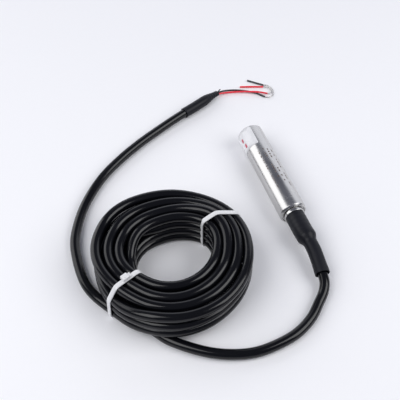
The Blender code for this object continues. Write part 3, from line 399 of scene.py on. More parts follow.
lead_in = on_floor(((-110, 58.2), (-120, 52.9), (-130, 48.9), (-140, 46.4), (-150, 45.5), (-158, 45.5)))
lead_out = on_floor(((-161, 54.5), (-168, 56.6), (-176, 60.0), (176, 63.6)))
CABLE_SPLIT_Y = -0.0720                      # under the heat-shrink, where the lead begins
wound_turns = [coil_point(wound) for wound in np.arange(COIL_START, COIL_END, COIL_PITCH)]
gland_path = smooth_route(GLAND_RUN, 0.002)
inside_end = int(np.argmin(np.abs(gland_path[:, 1] - CABLE_SPLIT_Y)))
route = [*gland_path[inside_end::4], *PROBE_LEAD, *lead_in, *wound_turns, *lead_out, *TAIL_LEAD]
outside = smooth_route(route, 0.0026)

jacket = skinned(
    "cable_jacket", JACKET_BLACK, JACKET_WORN, 0.10, 0.21, tone_scale=70.0, grain_scale=1500.0, scuff=0.35,
    bump=0.10, depth=0.00002, attribute="lay", stretch=(0.35, 1.0, 1.0), Specular_IOR_Level=0.36)


def cable_section(share, distance):
    return circle(CABLE_RADIUS, CABLE_SIDES)


in_gland = swept("cable_in_gland", gland_path[:inside_end + 1], cable_section)
in_gland.data.materials.append(jacket)
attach(in_gland, "root")
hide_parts("cable_entry")

cable = swept("cable", outside, cable_section)
cable.data.materials.append(jacket)
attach(cable, "root")
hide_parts("cable_probe_lead", "cable_coil", "cable_tail_lead")


# Housing: a 95 mm tube turned from 22 mm stainless bar, chamfered at both ends and bored for the capsule
# and the gland. Its etched rows are plain dashes.
NOSE_Y = 0.0570
HOUSING_LENGTH = 0.0950
NOSE_CHAMFER, REAR_CHAMFER = 0.0008, 0.0012
FRONT_BORE, WEB_BORE, REAR_BORE = 0.0096, 0.0070, 0.0094
WEB_FRONT, WEB_REAR = 0.0240, 0.0270


def turned(name, outline, sides):
    """A closed mesh turned round the probe's axis from (station from the nose, radius) points."""
    mesh = bpy.data.meshes.new(name)
    points = []
    for station, radius in outline:
        for j in range(sides):
            angle = 2 * math.pi * j / sides
            points.append((radius * math.cos(angle), NOSE_Y - station,
                           AXIS_HEIGHT + radius * math.sin(angle)))
    faces = []
    count = len(outline)
    for i in range(count):
        n = (i + 1) % count
        for j in range(sides):
            k = (j + 1) % sides
            faces.append((i * sides + j, i * sides + k, n * sides + k, n * sides + j))
    mesh.from_pydata(points, [], faces)
    faced_outwards(mesh, merge=True)
    mesh.set_sharp_from_angle(angle=math.radians(30))
    return placed(name, mesh)


def rounded(outline, sizes, steps=4):
    """Rounds the corners of an outline; sizes gives each corner's cut-back, 0 for a sharp one."""
    made = []
    count = len(outline)
    for i, (corner, size) in enumerate(zip(outline, sizes)):
        here = np.array(corner)
        before, after = np.array(outline[i - 1]), np.array(outline[(i + 1) % count])
        if not size:
            made.append(tuple(here))
            continue
        start = here + (before - here) / np.linalg.norm(before - here) * size
        end = here + (after - here) / np.linalg.norm(after - here) * size
        for t in np.linspace(0, 1, steps + 1):
            made.append(tuple((1 - t) ** 2 * start + 2 * t * (1 - t) * here + t * t * end))
    return made


housing_outline = [
    (HOUSING_LENGTH, HOUSING_RADIUS - REAR_CHAMFER), (HOUSING_LENGTH - REAR_CHAMFER, HOUSING_RADIUS),
    (NOSE_CHAMFER, HOUSING_RADIUS), (0.0, HOUSING_RADIUS - NOSE_CHAMFER), (0.0, FRONT_BORE),
    (WEB_FRONT, FRONT_BORE), (WEB_FRONT, WEB_BORE), (WEB_REAR, WEB_BORE), (WEB_REAR, REAR_BORE),
    (HOUSING_LENGTH, REAR_BORE),
]
housing_cuts = (0.00015, 0.0003, 0.0003, 0.00015, 0.00015, 0, 0, 0, 0, 0.0001)
housing = turned("housing_tube", rounded(housing_outline, housing_cuts), sides=180)

steel = skinned(
    "turned_stainless", (0.51, 0.502, 0.497), (0.61, 0.603, 0.593), 0.20, 0.31, tone_scale=60.0,
    grain_scale=900.0, scuff=0.25, bump=0.0, Metallic=1.0)
tree = steel.node_tree
steel_shader = tree.nodes["Principled BSDF"]
point = put(tree, "ShaderNodeTexCoord").outputs["Object"]
along_tool = put(tree, "ShaderNodeMapping", {"Vector": point, "Scale": (60.0, 9000.0, 60.0)})
grooves = put(tree, "ShaderNodeTexNoise",
              {"Vector": along_tool.outputs[0], "Scale": 1.0, "Detail": 3.0, "Roughness": 0.6})
relief = put(tree, "ShaderNodeBump",
             {"Strength": 0.16, "Distance": 0.00001, "Height": grooves.outputs["Fac"]})
tree.links.new(relief.outputs[0], steel_shader.inputs["Normal"])

split = put(tree, "ShaderNodeSeparateXYZ", {0: point})
rise = maths(tree, "SUBTRACT", split.outputs[2], AXIS_HEIGHT)
bearing = maths(tree, "ARCTAN2", rise, split.outputs[0])
station = maths(tree, "SUBTRACT", NOSE_Y, split.outputs[1])
INKED_ABOVE = 0.30                           # of each dash's random draw, so three in ten are left out
etched = None
for angle, first, last, pitch, tall, seed in (
    (117.0, 0.0305, 0.0740, 0.0023, 0.045, 3.0), (93.0, 0.0290, 0.0640, 0.0027, 0.058, 11.0),
    (75.0, 0.0300, 0.0700, 0.0028, 0.066, 23.0), (57.0, 0.0310, 0.0740, 0.0027, 0.066, 31.0),
):
    off = maths(tree, "ABSOLUTE", maths(tree, "SUBTRACT", bearing, math.radians(angle)))
    row = put(tree, "ShaderNodeMapRange", {0: off, 1: tall, 2: tall * 0.8}).outputs[0]
    cell = maths(tree, "DIVIDE", station, pitch)
    seeded = maths(tree, "ADD", maths(tree, "FLOOR", cell), seed)
    chance = put(tree, "ShaderNodeTexWhiteNoise", {"W": seeded}, noise_dimensions="1D").outputs["Value"]
    width = put(tree, "ShaderNodeMapRange", {0: chance, 1: INKED_ABOVE, 2: 1.0, 3: 0.45, 4: 0.85})
    for condition in (
        maths(tree, "GREATER_THAN", chance, INKED_ABOVE),
        maths(tree, "LESS_THAN", maths(tree, "FRACT", cell), width.outputs[0]),
        maths(tree, "GREATER_THAN", station, first),
        maths(tree, "LESS_THAN", station, last),
    ):
        row = maths(tree, "MULTIPLY", row, condition)
    etched = row if etched is None else maths(tree, "MAXIMUM", etched, row)
patchy = put(tree, "ShaderNodeTexNoise", {"Vector": point, "Scale": 1400.0, "Detail": 2.0})
patchy = put(tree, "ShaderNodeMapRange", {0: patchy.outputs["Fac"], 1: 0.35, 2: 0.6, 3: 0.75, 4: 1.0})
etched = maths(tree, "MULTIPLY", etched, patchy.outputs[0])
burnt = put(tree, "ShaderNodeMix",
            {0: etched, 6: tree.nodes["colour"].outputs[2], 7: (0.080, 0.048, 0.036, 1)}, data_type="RGBA")
tree.links.new(burnt.outputs[2], steel_shader.inputs["Base Color"])
dulled = put(tree, "ShaderNodeMapRange", {0: etched, 1: 0.0, 2: 1.0, 4: 0.55})
tree.links.new(tree.nodes["skin"].outputs["Roughness"], dulled.inputs[3])
tree.links.new(dulled.outputs[0], steel_shader.inputs["Roughness"])
oxide = put(tree, "ShaderNodeMapRange", {0: etched, 3: 1.0, 4: 0.15})
tree.links.new(oxide.outputs[0], steel_shader.inputs["Metallic"])
steel_shader.inputs["Anisotropic"].default_value = 0.35

housing.data.materials.append(steel)
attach(housing, "root")
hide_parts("housing")


# Label: a white glossy film wrapped on the left of the housing behind the nose. It is blank but for two
# small red bars.
LABEL_STATIONS = (0.0010, 0.0222)
LABEL_BEARINGS = (97.0, 226.0)
LABEL_THICKNESS = 0.00009
LABEL_RADIUS = HOUSING_RADIUS + 0.00001
BAR_RADIUS = HOUSING_RADIUS + 0.000105
BAR_THICKNESS = 0.00002
BAR_HALF_LENGTH, BAR_HALF_ANGLE = 0.0021, 5.5


def wrapped(name, stations, bearings, radius, thickness, across, around, corner):
    """A thin sheet lying on the housing between two stations and two bearings."""
    mesh = bpy.data.meshes.new(name)
    points = []
    for i in range(across + 1):
        for j in range(around + 1):
            u, v = i / across, j / around
            inset = 0.0
            reach = (bearings[1] - bearings[0]) / 360 * 2 * math.pi * radius
            near = min(v, 1 - v) * reach
            if near < corner:
                inset = corner - math.sqrt(max(0.0, corner**2 - (corner - near) ** 2))
            length = stations[1] - stations[0]
            station = stations[0] + inset + (length - 2 * inset) * u
            angle = math.radians(bearings[0] + (bearings[1] - bearings[0]) * v)
            points.append((radius * math.cos(angle), NOSE_Y - station,
                           AXIS_HEIGHT + radius * math.sin(angle)))
    faces = []
    for i in range(across):
        for j in range(around):
            a = i * (around + 1) + j
            faces.append((a, a + around + 1, a + around + 2, a + 1))
    mesh.from_pydata(points, [], faces)
    mesh.shade_smooth()
    piece = placed(name, mesh)
    film = piece.modifiers.new("film", "SOLIDIFY")
    film.thickness = thickness
    film.offset = 1.0
    film.use_even_offset = True
    middle = Vector(points[len(points) // 2])
    outward = Vector((middle.x, 0, middle.z - AXIS_HEIGHT))
    if mesh.polygons[len(mesh.polygons) // 2].normal.dot(outward) < 0:
        mesh.flip_normals()
    return piece


label_film = skinned(
    "label_film", (0.78, 0.78, 0.80), (0.86, 0.86, 0.88), 0.22, 0.34, tone_scale=120.0, grain_scale=2600.0,
    scuff=0.4, bump=0.12, depth=0.00001, Coat_Weight=0.35, Coat_Roughness=0.12)
label = wrapped("label", LABEL_STATIONS, LABEL_BEARINGS, LABEL_RADIUS, LABEL_THICKNESS, across=6, around=64,
                corner=0.0012)
label.data.materials.append(label_film)
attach(label, "root")

label_ink = skinned(
    "label_ink", (0.50, 0.05, 0.09), (0.62, 0.10, 0.15), 0.3, 0.45, tone_scale=400.0, grain_scale=2600.0,
    scuff=0.3, bump=0.08, depth=0.00001)
for number, (station, bearing_at) in enumerate(((0.0098, 162.0), (0.0168, 156.0))):
    bar = wrapped(f"label_bar_{number + 1}", (station - BAR_HALF_LENGTH, station + BAR_HALF_LENGTH),
                  (bearing_at - BAR_HALF_ANGLE, bearing_at + BAR_HALF_ANGLE), BAR_RADIUS, BAR_THICKNESS,
                  across=4, around=10, corner=0.0003)
    bar.data.materials.append(label_ink)
    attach(bar, "root")


# Cable gland: the collar and barbed neck turned in one piece and pressed into the housing's rear. The
# collar's edges are broken, and its face is what shows between the housing and the heat-shrink.
NECK_REAR, BARB_PITCH = 0.1140, 0.0040
GLAND_BORE, NECK_RADIUS, BARB_RADIUS, COLLAR_RADIUS = 0.0041, 0.0061, 0.0068, 0.0083
COLLAR_REAR, PLUG_REAR, PLUG_FRONT, PLUG_RADIUS = 0.0980, 0.0942, 0.0840, 0.0091
GROOVE_FRONT, GROOVE_REAR, GROOVE_RADIUS = 0.0870, 0.08875, 0.0076
CAVITY_REAR, CAVITY_RADIUS = 0.0945, 0.0062
barbs = []
for i in range(4):
    rear = NECK_REAR - BARB_PITCH * i
    barbs += [(rear, NECK_RADIUS), (rear - 0.0028, BARB_RADIUS), (rear - 0.0032, NECK_RADIUS)]
gland_outline = [
    (NECK_REAR, GLAND_BORE), *barbs, (COLLAR_REAR, NECK_RADIUS), (COLLAR_REAR, COLLAR_RADIUS),
    (HOUSING_LENGTH, COLLAR_RADIUS), (PLUG_REAR, COLLAR_RADIUS), (PLUG_REAR, PLUG_RADIUS),
    (GROOVE_REAR, PLUG_RADIUS), (GROOVE_REAR, GROOVE_RADIUS), (GROOVE_FRONT, GROOVE_RADIUS),
    (GROOVE_FRONT, PLUG_RADIUS), (PLUG_FRONT, PLUG_RADIUS), (PLUG_FRONT, CAVITY_RADIUS),
    (CAVITY_REAR, CAVITY_RADIUS), (CAVITY_REAR, GLAND_BORE),
]
gland_cuts = [0.0001] + [0] * len(barbs) + [0.0001, 0.0004, 0, 0.0002] + [0] * 9
gland = turned("gland", rounded(gland_outline, gland_cuts), sides=128)
gland_steel = skinned(
    "gland_stainless", (0.55, 0.545, 0.54), (0.66, 0.655, 0.645), 0.18, 0.30, tone_scale=140.0,
    grain_scale=1200.0, scuff=0.3, bump=0.2, depth=0.00001, stretch=(0.05, 4.0, 0.05), Metallic=1.0,
    Anisotropic=0.3)
gland.data.materials.append(gland_steel)
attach(gland, "root")
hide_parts("gland_body")


# Heat-shrink strain relief: thick black polyolefin shrunk over the neck and on down to the cable, over a
# softer layer. It has a soft shoulder past the neck, and a square-cut open mouth.
SHRINK_WALL, UNDER_WALL = 0.0006, 0.0006
SHRINK_START_Y, UNDER_START_Y = -0.0413, -0.0579
SHRINK_BIG, SHRINK_SMALL, UNDER_RADIUS = 0.0077, 0.00545, 0.00472
SHOULDER_START, SHOULDER_LENGTH = 0.0203, 0.0078
BARB_SWELL, FIRST_BARB, LAST_BARB = 0.00004, 0.0012, 0.0165      # the barbs show faintly through the sleeve
MOUTH_FLARE, END_DRAW = 0.00022, 0.00012
relief_path = smooth_route(GLAND_RUN, 0.0008)
collar = int(np.argmin(np.abs(relief_path[:, 1] - SHRINK_START_Y)))
shrink_path = relief_path[collar:]


def shrink_radius(share, distance):
    narrowed = float(ease((distance - SHOULDER_START) / SHOULDER_LENGTH))
    radius = SHRINK_BIG - (SHRINK_BIG - SHRINK_SMALL) * narrowed
    if distance < LAST_BARB:
        radius += BARB_SWELL * math.cos(2 * math.pi * (distance - FIRST_BARB) / BARB_PITCH)
    radius += MOUTH_FLARE * float(ease((share - 0.80) / 0.20))
    return radius - END_DRAW * float(ease(1 - distance / 0.0015))


def hollow(piece, wall, even):
    """Gives an open skin its wall, inwards."""
    shell = piece.modifiers.new("wall", "SOLIDIFY")
    shell.thickness = wall
    shell.offset = -1.0
    shell.use_even_offset = even


def tube_wall(name, path, outer, wall, sides):
    """An open tube with a wall: out along the outside, round both mouths and back along the bore."""
    made = swept(name, path, lambda share, distance: circle(outer(share, distance), sides), caps=False)
    hollow(made, wall, even=True)
    edge = made.modifiers.new("cut edge", "BEVEL")
    edge.width = 0.00012
    edge.segments = 2
    edge.limit_method = "ANGLE"
    edge.angle_limit = math.radians(60)
    return made


shrink_black = skinned(
    "shrink_polyolefin", (0.0052, 0.0056, 0.0088), (0.0135, 0.0142, 0.0195), 0.34, 0.50, tone_scale=80.0,
    grain_scale=1300.0, scuff=0.5, bump=0.35, depth=0.00003, attribute="lay", stretch=(0.4, 1.0, 1.0),
    Specular_IOR_Level=0.2)
outer_shrink = tube_wall("strain_relief", shrink_path, shrink_radius, SHRINK_WALL, 72)
outer_shrink.data.materials.append(shrink_black)
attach(outer_shrink, "root")
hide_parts("heat_shrink_outer")

neck_end = int(np.argmin(np.abs(relief_path[:, 1] - UNDER_START_Y)))
layer_path = relief_path[neck_end:len(relief_path) - 4]
under_shrink = tube_wall("relief_underlay", layer_path, lambda share, distance: UNDER_RADIUS, UNDER_WALL, 48)
under_shrink.data.materials.append(shrink_black)
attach(under_shrink, "root")
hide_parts("heat_shrink_inner")


# Cable ties: moulded natural nylon, 3.6 mm wide. Each strap goes under the coil and up over it, and
# through its ratchet head, and its cut end stands a little out of the head.
STRAP_THICKNESS = 0.0009
STRAP_WIDTH = 0.0036
STRAP_BACK, STRAP_REACH = -0.006, 0.040      # along the strap, where the coil's cords can lie
HEAD_SIZE = Vector((0.0056, 0.0050, 0.0033))
UPRIGHT_HEAD_HEIGHT = 0.0160


def hull(points):
    """Convex hull of 2D points, counter-clockwise."""
    points = sorted(set(map(tuple, np.round(points, 7))))

    def turns_right(a, b, c):
        return (b[0] - a[0]) * (c[1] - a[1]) <= (b[1] - a[1]) * (c[0] - a[0])

    def chain(run):
        made = []
        for p in run:
            while len(made) > 1 and turns_right(made[-2], made[-1], p):
                made.pop()
            made.append(p)
        return made[:-1]

    return chain(points) + chain(points[::-1])


def crossings(path, start, direction):
    """Where the cable crosses the upright plane through start, ahead of it, as (distance, height)."""
    normal = np.array((-direction[1], direction[0]))
    off = (path[:, :2] - start) @ normal
    found = []
    for i in np.nonzero(off[:-1] * off[1:] < 0)[0]:
        t = off[i] / (off[i] - off[i + 1])
        p = path[i] + (path[i + 1] - path[i]) * t
        ahead = (p[:2] - start) @ direction
        if STRAP_BACK < ahead < STRAP_REACH:
            found.append((ahead, p[2]))
    return np.array(found)


def strap_path(start, direction, clearance):
    """The strap's middle line, pulled tight round the cables in its plane and kept off the table."""
    around = circle(CABLE_RADIUS + clearance, 48)
    rim = hull(np.concatenate([c + around for c in crossings(outside, start, direction)]))
    rim = np.array([(x, max(z, STRAP_THICKNESS / 2)) for x, z in rim])
    rim = np.concatenate([rim, rim[:1]])
    steps = np.concatenate([[0], np.cumsum(np.linalg.norm(np.diff(rim, axis=0), axis=1))])
    even = np.linspace(0, steps[-1], 161)[:-1]
    flat = np.stack([np.interp(even, steps, rim[:, k]) for k in range(2)], axis=1)
    for _ in range(3):
        flat = (np.roll(flat, 1, axis=0) + 2 * flat + np.roll(flat, -1, axis=0)) / 4
    return flat


nylon = skinned(
    "tie_nylon", (0.74, 0.74, 0.75), (0.84, 0.84, 0.85), 0.28, 0.42, tone_scale=160.0, grain_scale=2200.0,
    scuff=0.4, bump=0.2, depth=0.00002, Subsurface_Weight=0.15, Subsurface_Radius=(0.002, 0.002, 0.002),
    Subsurface_Scale=0.4)




def block(work, centre, size, cut, segments):
    """Adds a block with rounded edges to the mesh being made."""
    made = bmesh.ops.create_cube(work, size=1.0,
                                 matrix=Matrix.Translation(centre) @ Matrix.Diagonal((*size, 1)))
    edges = list({e for v in made["verts"] for e in v.link_edges})
    bmesh.ops.bevel(work, geom=edges, offset=cut, segments=segments, affect="EDGES")


def tie(name, node, inner, outer, head_share, head_side, lying=True):
    """A strap pulled tight from inner to outer, with its head lying on it or upright outside the coil."""
    inner, outer = np.array(inner), np.array(outer)
    direction = (outer - inner) / np.linalg.norm(outer - inner)
    flat = strap_path(inner, direction, STRAP_THICKNESS / 2 + 0.00005)
    normal = np.array((-direction[1], direction[0], 0.0))
    line = np.array([(*(inner + direction * x), z) for x, z in flat])
    tangents = np.roll(line, -1, axis=0) - np.roll(line, 1, axis=0)
    tangents /= np.linalg.norm(tangents, axis=1)[:, None]
    mesh = bpy.data.meshes.new(name)
    half, thick, rail = STRAP_WIDTH / 2, STRAP_THICKNESS / 2, 0.00012
    section = [(-half, -thick * 0.6), (-half + 0.0003, -thick), (half - 0.0003, -thick), (half, -thick * 0.6),
               (half, thick * 0.7), (half - 0.0003, thick), (half - 0.0008, thick),
               (half - 0.0011, thick - rail), (-half + 0.0011, thick - rail), (-half + 0.0008, thick),
               (-half + 0.0003, thick), (-half, thick * 0.7)]
    points, lay = [], []
    for i, (centre, tangent) in enumerate(zip(line, tangents)):
        out = np.cross(tangent, normal)
        for across, rise in section:
            points.append(tuple(centre + normal * across + out * rise))
            lay.append((i * 0.0006, across, rise))
    count = len(section)
    faces = []
    for i in range(len(line)):
        n = (i + 1) % len(line)
        for j in range(count):
            k = (j + 1) % count
            faces.append((i * count + j, i * count + k, n * count + k, n * count + j))
    mesh.from_pydata(points, [], faces)
    faced_outwards(mesh)
    mesh.set_sharp_from_angle(angle=math.radians(50))
    strap = placed(name, mesh)
    strap.data.materials.append(nylon)
    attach(strap, "root")
    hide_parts(node)

    if lying:
        reach = max(flat[:, 0]) - min(flat[:, 0])
        at = min(flat[:, 0]) + reach * head_share
        high = max(z for x, z in flat if abs(x - at) < 0.003)
        along = Vector((*direction, 0))
        upward = Vector((0, 0, 1))
        seat = Vector((*(inner + direction * at), high - STRAP_THICKNESS / 2 + 0.0001))
    else:
        along = Vector((0, 0, -1))
        upward = Vector((*direction, 0))
        far = max(flat[:, 0])
        seat = Vector((*(inner + direction * (far - STRAP_THICKNESS / 2)), UPRIGHT_HEAD_HEIGHT))
    side = upward.cross(along)
    frame_of_head = Matrix((along, side, upward)).transposed().to_4x4()
    frame_of_head.translation = seat + side * head_side
    head = bpy.data.meshes.new(name + "_head")
    work = bmesh.new()
    middle = Matrix.Translation((0, 0, HEAD_SIZE.z / 2))
    bmesh.ops.create_cube(work, size=1.0, matrix=middle @ Matrix.Diagonal((*HEAD_SIZE, 1)))
    for vertex in work.verts:
        if vertex.co.z > 0.001:
            vertex.co.x *= 0.90
            vertex.co.y *= 0.92
    bmesh.ops.bevel(work, geom=work.edges[:], offset=0.0006, segments=4, profile=0.6, affect="EDGES")
    block(work, (0.0004, 0, HEAD_SIZE.z), (0.0016, 0.0024, 0.0003), 0.0001, 2)
    block(work, (-0.0036, 0, 0.0014), (0.0022, STRAP_WIDTH, STRAP_THICKNESS), 0.0002, 2)
    bmesh.ops.transform(work, matrix=frame_of_head, verts=work.verts)
    bmesh.ops.recalc_face_normals(work, faces=work.faces)
    work.to_mesh(head)
    work.free()
    head.shade_smooth()
    head.set_sharp_from_angle(angle=math.radians(40))
    ratchet = placed(name + "_head", head)
    ratchet.data.materials.append(nylon)
    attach(ratchet, "root")
    return strap, ratchet


near_strap, near_head = tie("near_tie", "tie_near", (-0.1376, -0.0678), (-0.1612, -0.0781), 0.46, -0.0010)
far_strap, far_head = tie("far_tie", "tie_far", (-0.0727, -0.0366), (-0.0504, -0.0346), 0.5, 0.0, lying=False)


# Cable end: adhesive-lined heat-shrink over the cut jacket, drawn down to the wires and pinched at its
# tip. The vent tube of the cable ends in it and shows as a small dark nib.
TAIL_BIG, TAIL_SMALL = 0.0046, 0.0027
TAIL_SLEEVE = [
    (-0.0440, 0.1074, 0.0048), (-0.0350, 0.1112, 0.0048), (-0.0260, 0.1153, 0.0048),
    (-0.0170, 0.1198, 0.0046), (-0.0110, 0.1227, 0.0041), (-0.0060, 0.1250, 0.0036),
]
tail_path = smooth_route(TAIL_SLEEVE, 0.0006)
tail_length = run_length(tail_path)


def tail_section(share, distance):
    shrink = float(ease((distance - (tail_length - 0.0195)) / 0.0185))
    radius = TAIL_BIG - (TAIL_BIG - TAIL_SMALL) * shrink
    ripple = 0.00010 * math.sin(distance * 2100) * float(ease((share - 0.55) / 0.2))
    pinch = float(ease((distance - (tail_length - 0.006)) / 0.006))
    points = circle(radius + ripple, 56)
    turn = np.arctan2(points[:, 1], points[:, 0])
    crease = 1 - 0.10 * pinch * np.abs(np.cos(1.5 * turn + 0.6)) ** 2
    return points * crease[:, None] * np.array((1.0 + 0.10 * pinch, 1.0 - 0.14 * pinch))


tail = swept("tail_sleeve_skin", tail_path, tail_section, caps=False)
hollow(tail, 0.0005, even=True)
tail.data.materials.append(shrink_black)
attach(tail, "root")
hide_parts("tail_sleeve")

VENT_NIB = [(-0.0168, 0.1198, 0.0061), (-0.0110, 0.1228, 0.0055), (-0.0060, 0.1250, 0.0050),
            (-0.0022, 0.1276, 0.0053)]
NIB_RADIUS = 0.0005
nib = swept("vent_nib", smooth_route(VENT_NIB, 0.0006), lambda share, distance: circle(NIB_RADIUS, 20),
            caps=False)
hollow(nib, NIB_RADIUS / 2, even=False)
nib_black = skinned("vent_nylon_dark", (0.02, 0.02, 0.025), (0.05, 0.05, 0.06), 0.3, 0.45, tone_scale=300.0,
                    bump=0.1)
nib.data.materials.append(nib_black)
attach(nib, "root")
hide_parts("vent_capillary")


# Wires: red and black PVC on tinned strands. The ends are bared, and the cut lengths of insulation are
# left pushed to the strands' ends, as makers ship them.
WIRE_RADIUS, WIRE_SIDES = 0.0008, 20
WIRES = {
    "black": (
        [(-0.0244, 0.1171, 0.0045), (-0.0170, 0.1209, 0.0043), (-0.0110, 0.1239, 0.0038),
         (-0.0062, 0.1260, 0.0032),
         (0.0022, 0.1282, 0.0017), (0.0112, 0.1273, 0.0009), (0.0215, 0.1227, 0.0009),
         (0.0302, 0.1164, 0.0008), (0.0359, 0.1094, 0.0008)],
        [(0.0361, 0.1088, 0.0008), (0.0385, 0.1076, 0.0008), (0.0430, 0.1086, 0.0007),
         (0.0460, 0.1135, 0.0007),
         (0.0463, 0.1190, 0.0007), (0.0442, 0.1235, 0.0008), (0.0414, 0.1251, 0.0008)],
        [(0.0408, 0.1254, 0.0008), (0.0352, 0.1302, 0.0009), (0.0287, 0.1365, 0.0008)],
        (0.012, 0.012, 0.016), (0.030, 0.030, 0.036),
    ),
    "red": (
        [(-0.0239, 0.1151, 0.0045), (-0.0164, 0.1189, 0.0043), (-0.0104, 0.1219, 0.0038),
         (-0.0055, 0.1241, 0.0032),
         (0.0025, 0.1252, 0.0018), (0.0109, 0.1238, 0.0016), (0.0222, 0.1196, 0.0024),
         (0.0312, 0.1156, 0.0028), (0.0395, 0.1118, 0.0018)],
        [(0.0400, 0.1116, 0.0017), (0.0424, 0.1117, 0.0014), (0.0443, 0.1150, 0.0010),
         (0.0442, 0.1190, 0.0009),
         (0.0425, 0.1217, 0.0008), (0.0403, 0.1228, 0.0008)],
        [(0.0397, 0.1230, 0.0008), (0.0290, 0.1266, 0.0009), (0.0186, 0.1298, 0.0008)],
        (0.84, 0.022, 0.045), (0.92, 0.050, 0.075),
    ),
}


def strand_tree(material):
    """Geometry Nodes: turns one line into a twisted bundle of fine round strands."""
    group = bpy.data.node_groups.new("twisted strands", "GeometryNodeTree")
    group.interface.new_socket("Geometry", in_out="INPUT", socket_type="NodeSocketGeometry")
    for label, kind, value in (
        ("Strands", "NodeSocketInt", 7), ("Strand Radius", "NodeSocketFloat", 0.00016),
        ("Bundle Radius", "NodeSocketFloat", 0.00030), ("Twists", "NodeSocketFloat", 2.5),
        ("Sides", "NodeSocketInt", 8),
    ):
        group.interface.new_socket(label, in_out="INPUT", socket_type=kind).default_value = value
    group.interface.new_socket("Geometry", in_out="OUTPUT", socket_type="NodeSocketGeometry")
    given = put(group, "NodeGroupInput").outputs
    curve = put(group, "GeometryNodeMeshToCurve", {"Mesh": given["Geometry"]})
    copies = put(group, "GeometryNodeDuplicateElements",
                 {"Geometry": curve.outputs[0], "Amount": given["Strands"]}, domain="SPLINE")
    share = maths(group, "DIVIDE", copies.outputs["Duplicate Index"], given["Strands"])
    factor = put(group, "GeometryNodeSplineParameter")
    twist = maths(group, "MULTIPLY", factor.outputs["Factor"], given["Twists"])
    angle = maths(group, "MULTIPLY", maths(group, "ADD", share, twist), 2 * math.pi)
    normal = put(group, "GeometryNodeInputNormal")
    tangent = put(group, "GeometryNodeInputTangent")
    across = put(group, "ShaderNodeVectorMath", {0: normal.outputs[0], 1: tangent.outputs[0]},
                 operation="CROSS_PRODUCT")
    first = put(group, "ShaderNodeVectorMath", {0: normal.outputs[0], "Scale": maths(group, "COSINE", angle)},
                operation="SCALE")
    second = put(group, "ShaderNodeVectorMath", {0: across.outputs[0], "Scale": maths(group, "SINE", angle)},
                 operation="SCALE")
    both = put(group, "ShaderNodeVectorMath", {0: first.outputs[0], 1: second.outputs[0]}, operation="ADD")
    offset = put(group, "ShaderNodeVectorMath", {0: both.outputs[0], "Scale": given["Bundle Radius"]},
                 operation="SCALE")
    moved = put(group, "GeometryNodeSetPosition",
                {"Geometry": copies.outputs["Geometry"], "Offset": offset.outputs[0]})
    ring = put(group, "GeometryNodeCurvePrimitiveCircle",
               {"Resolution": given["Sides"], "Radius": given["Strand Radius"]})
    skin = put(group, "GeometryNodeCurveToMesh",
               {"Curve": moved.outputs[0], "Profile Curve": ring.outputs[0], "Fill Caps": True})
    real = put(group, "GeometryNodeRealizeInstances", {"Geometry": skin.outputs[0]})
    smooth = put(group, "GeometryNodeSetShadeSmooth", {"Geometry": real.outputs[0]})
    painted = put(group, "GeometryNodeSetMaterial", {"Geometry": smooth.outputs[0], "Material": material})
    put(group, "NodeGroupOutput", {"Geometry": painted.outputs[0]})
    return group


def grown(name, mesh, group, values):
    """The plain mesh that a Geometry Nodes tree makes from a mesh, as an object of its own."""
    source = placed(name + "_line", mesh)
    modifier = source.modifiers.new("tree", "NODES")
    modifier.node_group = group
    for item in group.interface.items_tree:
        if item.item_type == "SOCKET" and item.in_out == "INPUT" and item.name in values:
            modifier[item.identifier] = values[item.name]
    bpy.context.view_layer.update()
    made = bpy.data.meshes.new_from_object(source.evaluated_get(bpy.context.evaluated_depsgraph_get()))
    bpy.data.objects.remove(source)
    return placed(name, made)


tinned = skinned(
    "tinned_strands", (0.60, 0.585, 0.56), (0.74, 0.72, 0.70), 0.22, 0.4, tone_scale=500.0,
    grain_scale=4000.0, scuff=0.4, bump=0.15, depth=0.00001, Metallic=1.0)
strands = strand_tree(tinned)


def wire_section(share, distance):
    """Ring of points round a wire's insulation."""
    return circle(WIRE_RADIUS, WIRE_SIDES)


for colour_name, (wire_route, strand_route, slug_route, deep, pale) in WIRES.items():
    pvc = skinned(f"pvc_{colour_name}", deep, pale, 0.22, 0.36, tone_scale=220.0, grain_scale=2500.0,
                  scuff=0.3,
                           bump=0.1, depth=0.00001, attribute="lay", stretch=(0.4, 1.0, 1.0))
    wire_path = smooth_route(wire_route, 0.0007)
    wire = swept(f"wire_{colour_name}_run", wire_path, wire_section)
    wire.data.materials.append(pvc)
    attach(wire, "root")
    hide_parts(f"wire_{colour_name}")

    bare_path = smooth_route([wire_route[-1], *strand_route, slug_route[0]], 0.0004)
    line = bpy.data.meshes.new("bare line")
    line.from_pydata([tuple(p) for p in bare_path], [(i, i + 1) for i in range(len(bare_path) - 1)], [])
    bundle = grown(f"strands_{colour_name}_bundle", line, strands,
                   {"Strands": 7, "Strand Radius": 0.00015, "Bundle Radius": 0.00030, "Twists": 2.2,
                    "Sides": 8})
    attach(bundle, "root")
    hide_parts(f"strands_{colour_name}")

    slug_path = smooth_route(slug_route, 0.0007)
    slug = swept(f"slug_{colour_name}_cut", slug_path, wire_section,
                 caps=False)
    hollow(slug, 0.0003, even=False)
    slug.data.materials.append(pvc)
    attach(slug, "root")
    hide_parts(f"slug_{colour_name}")


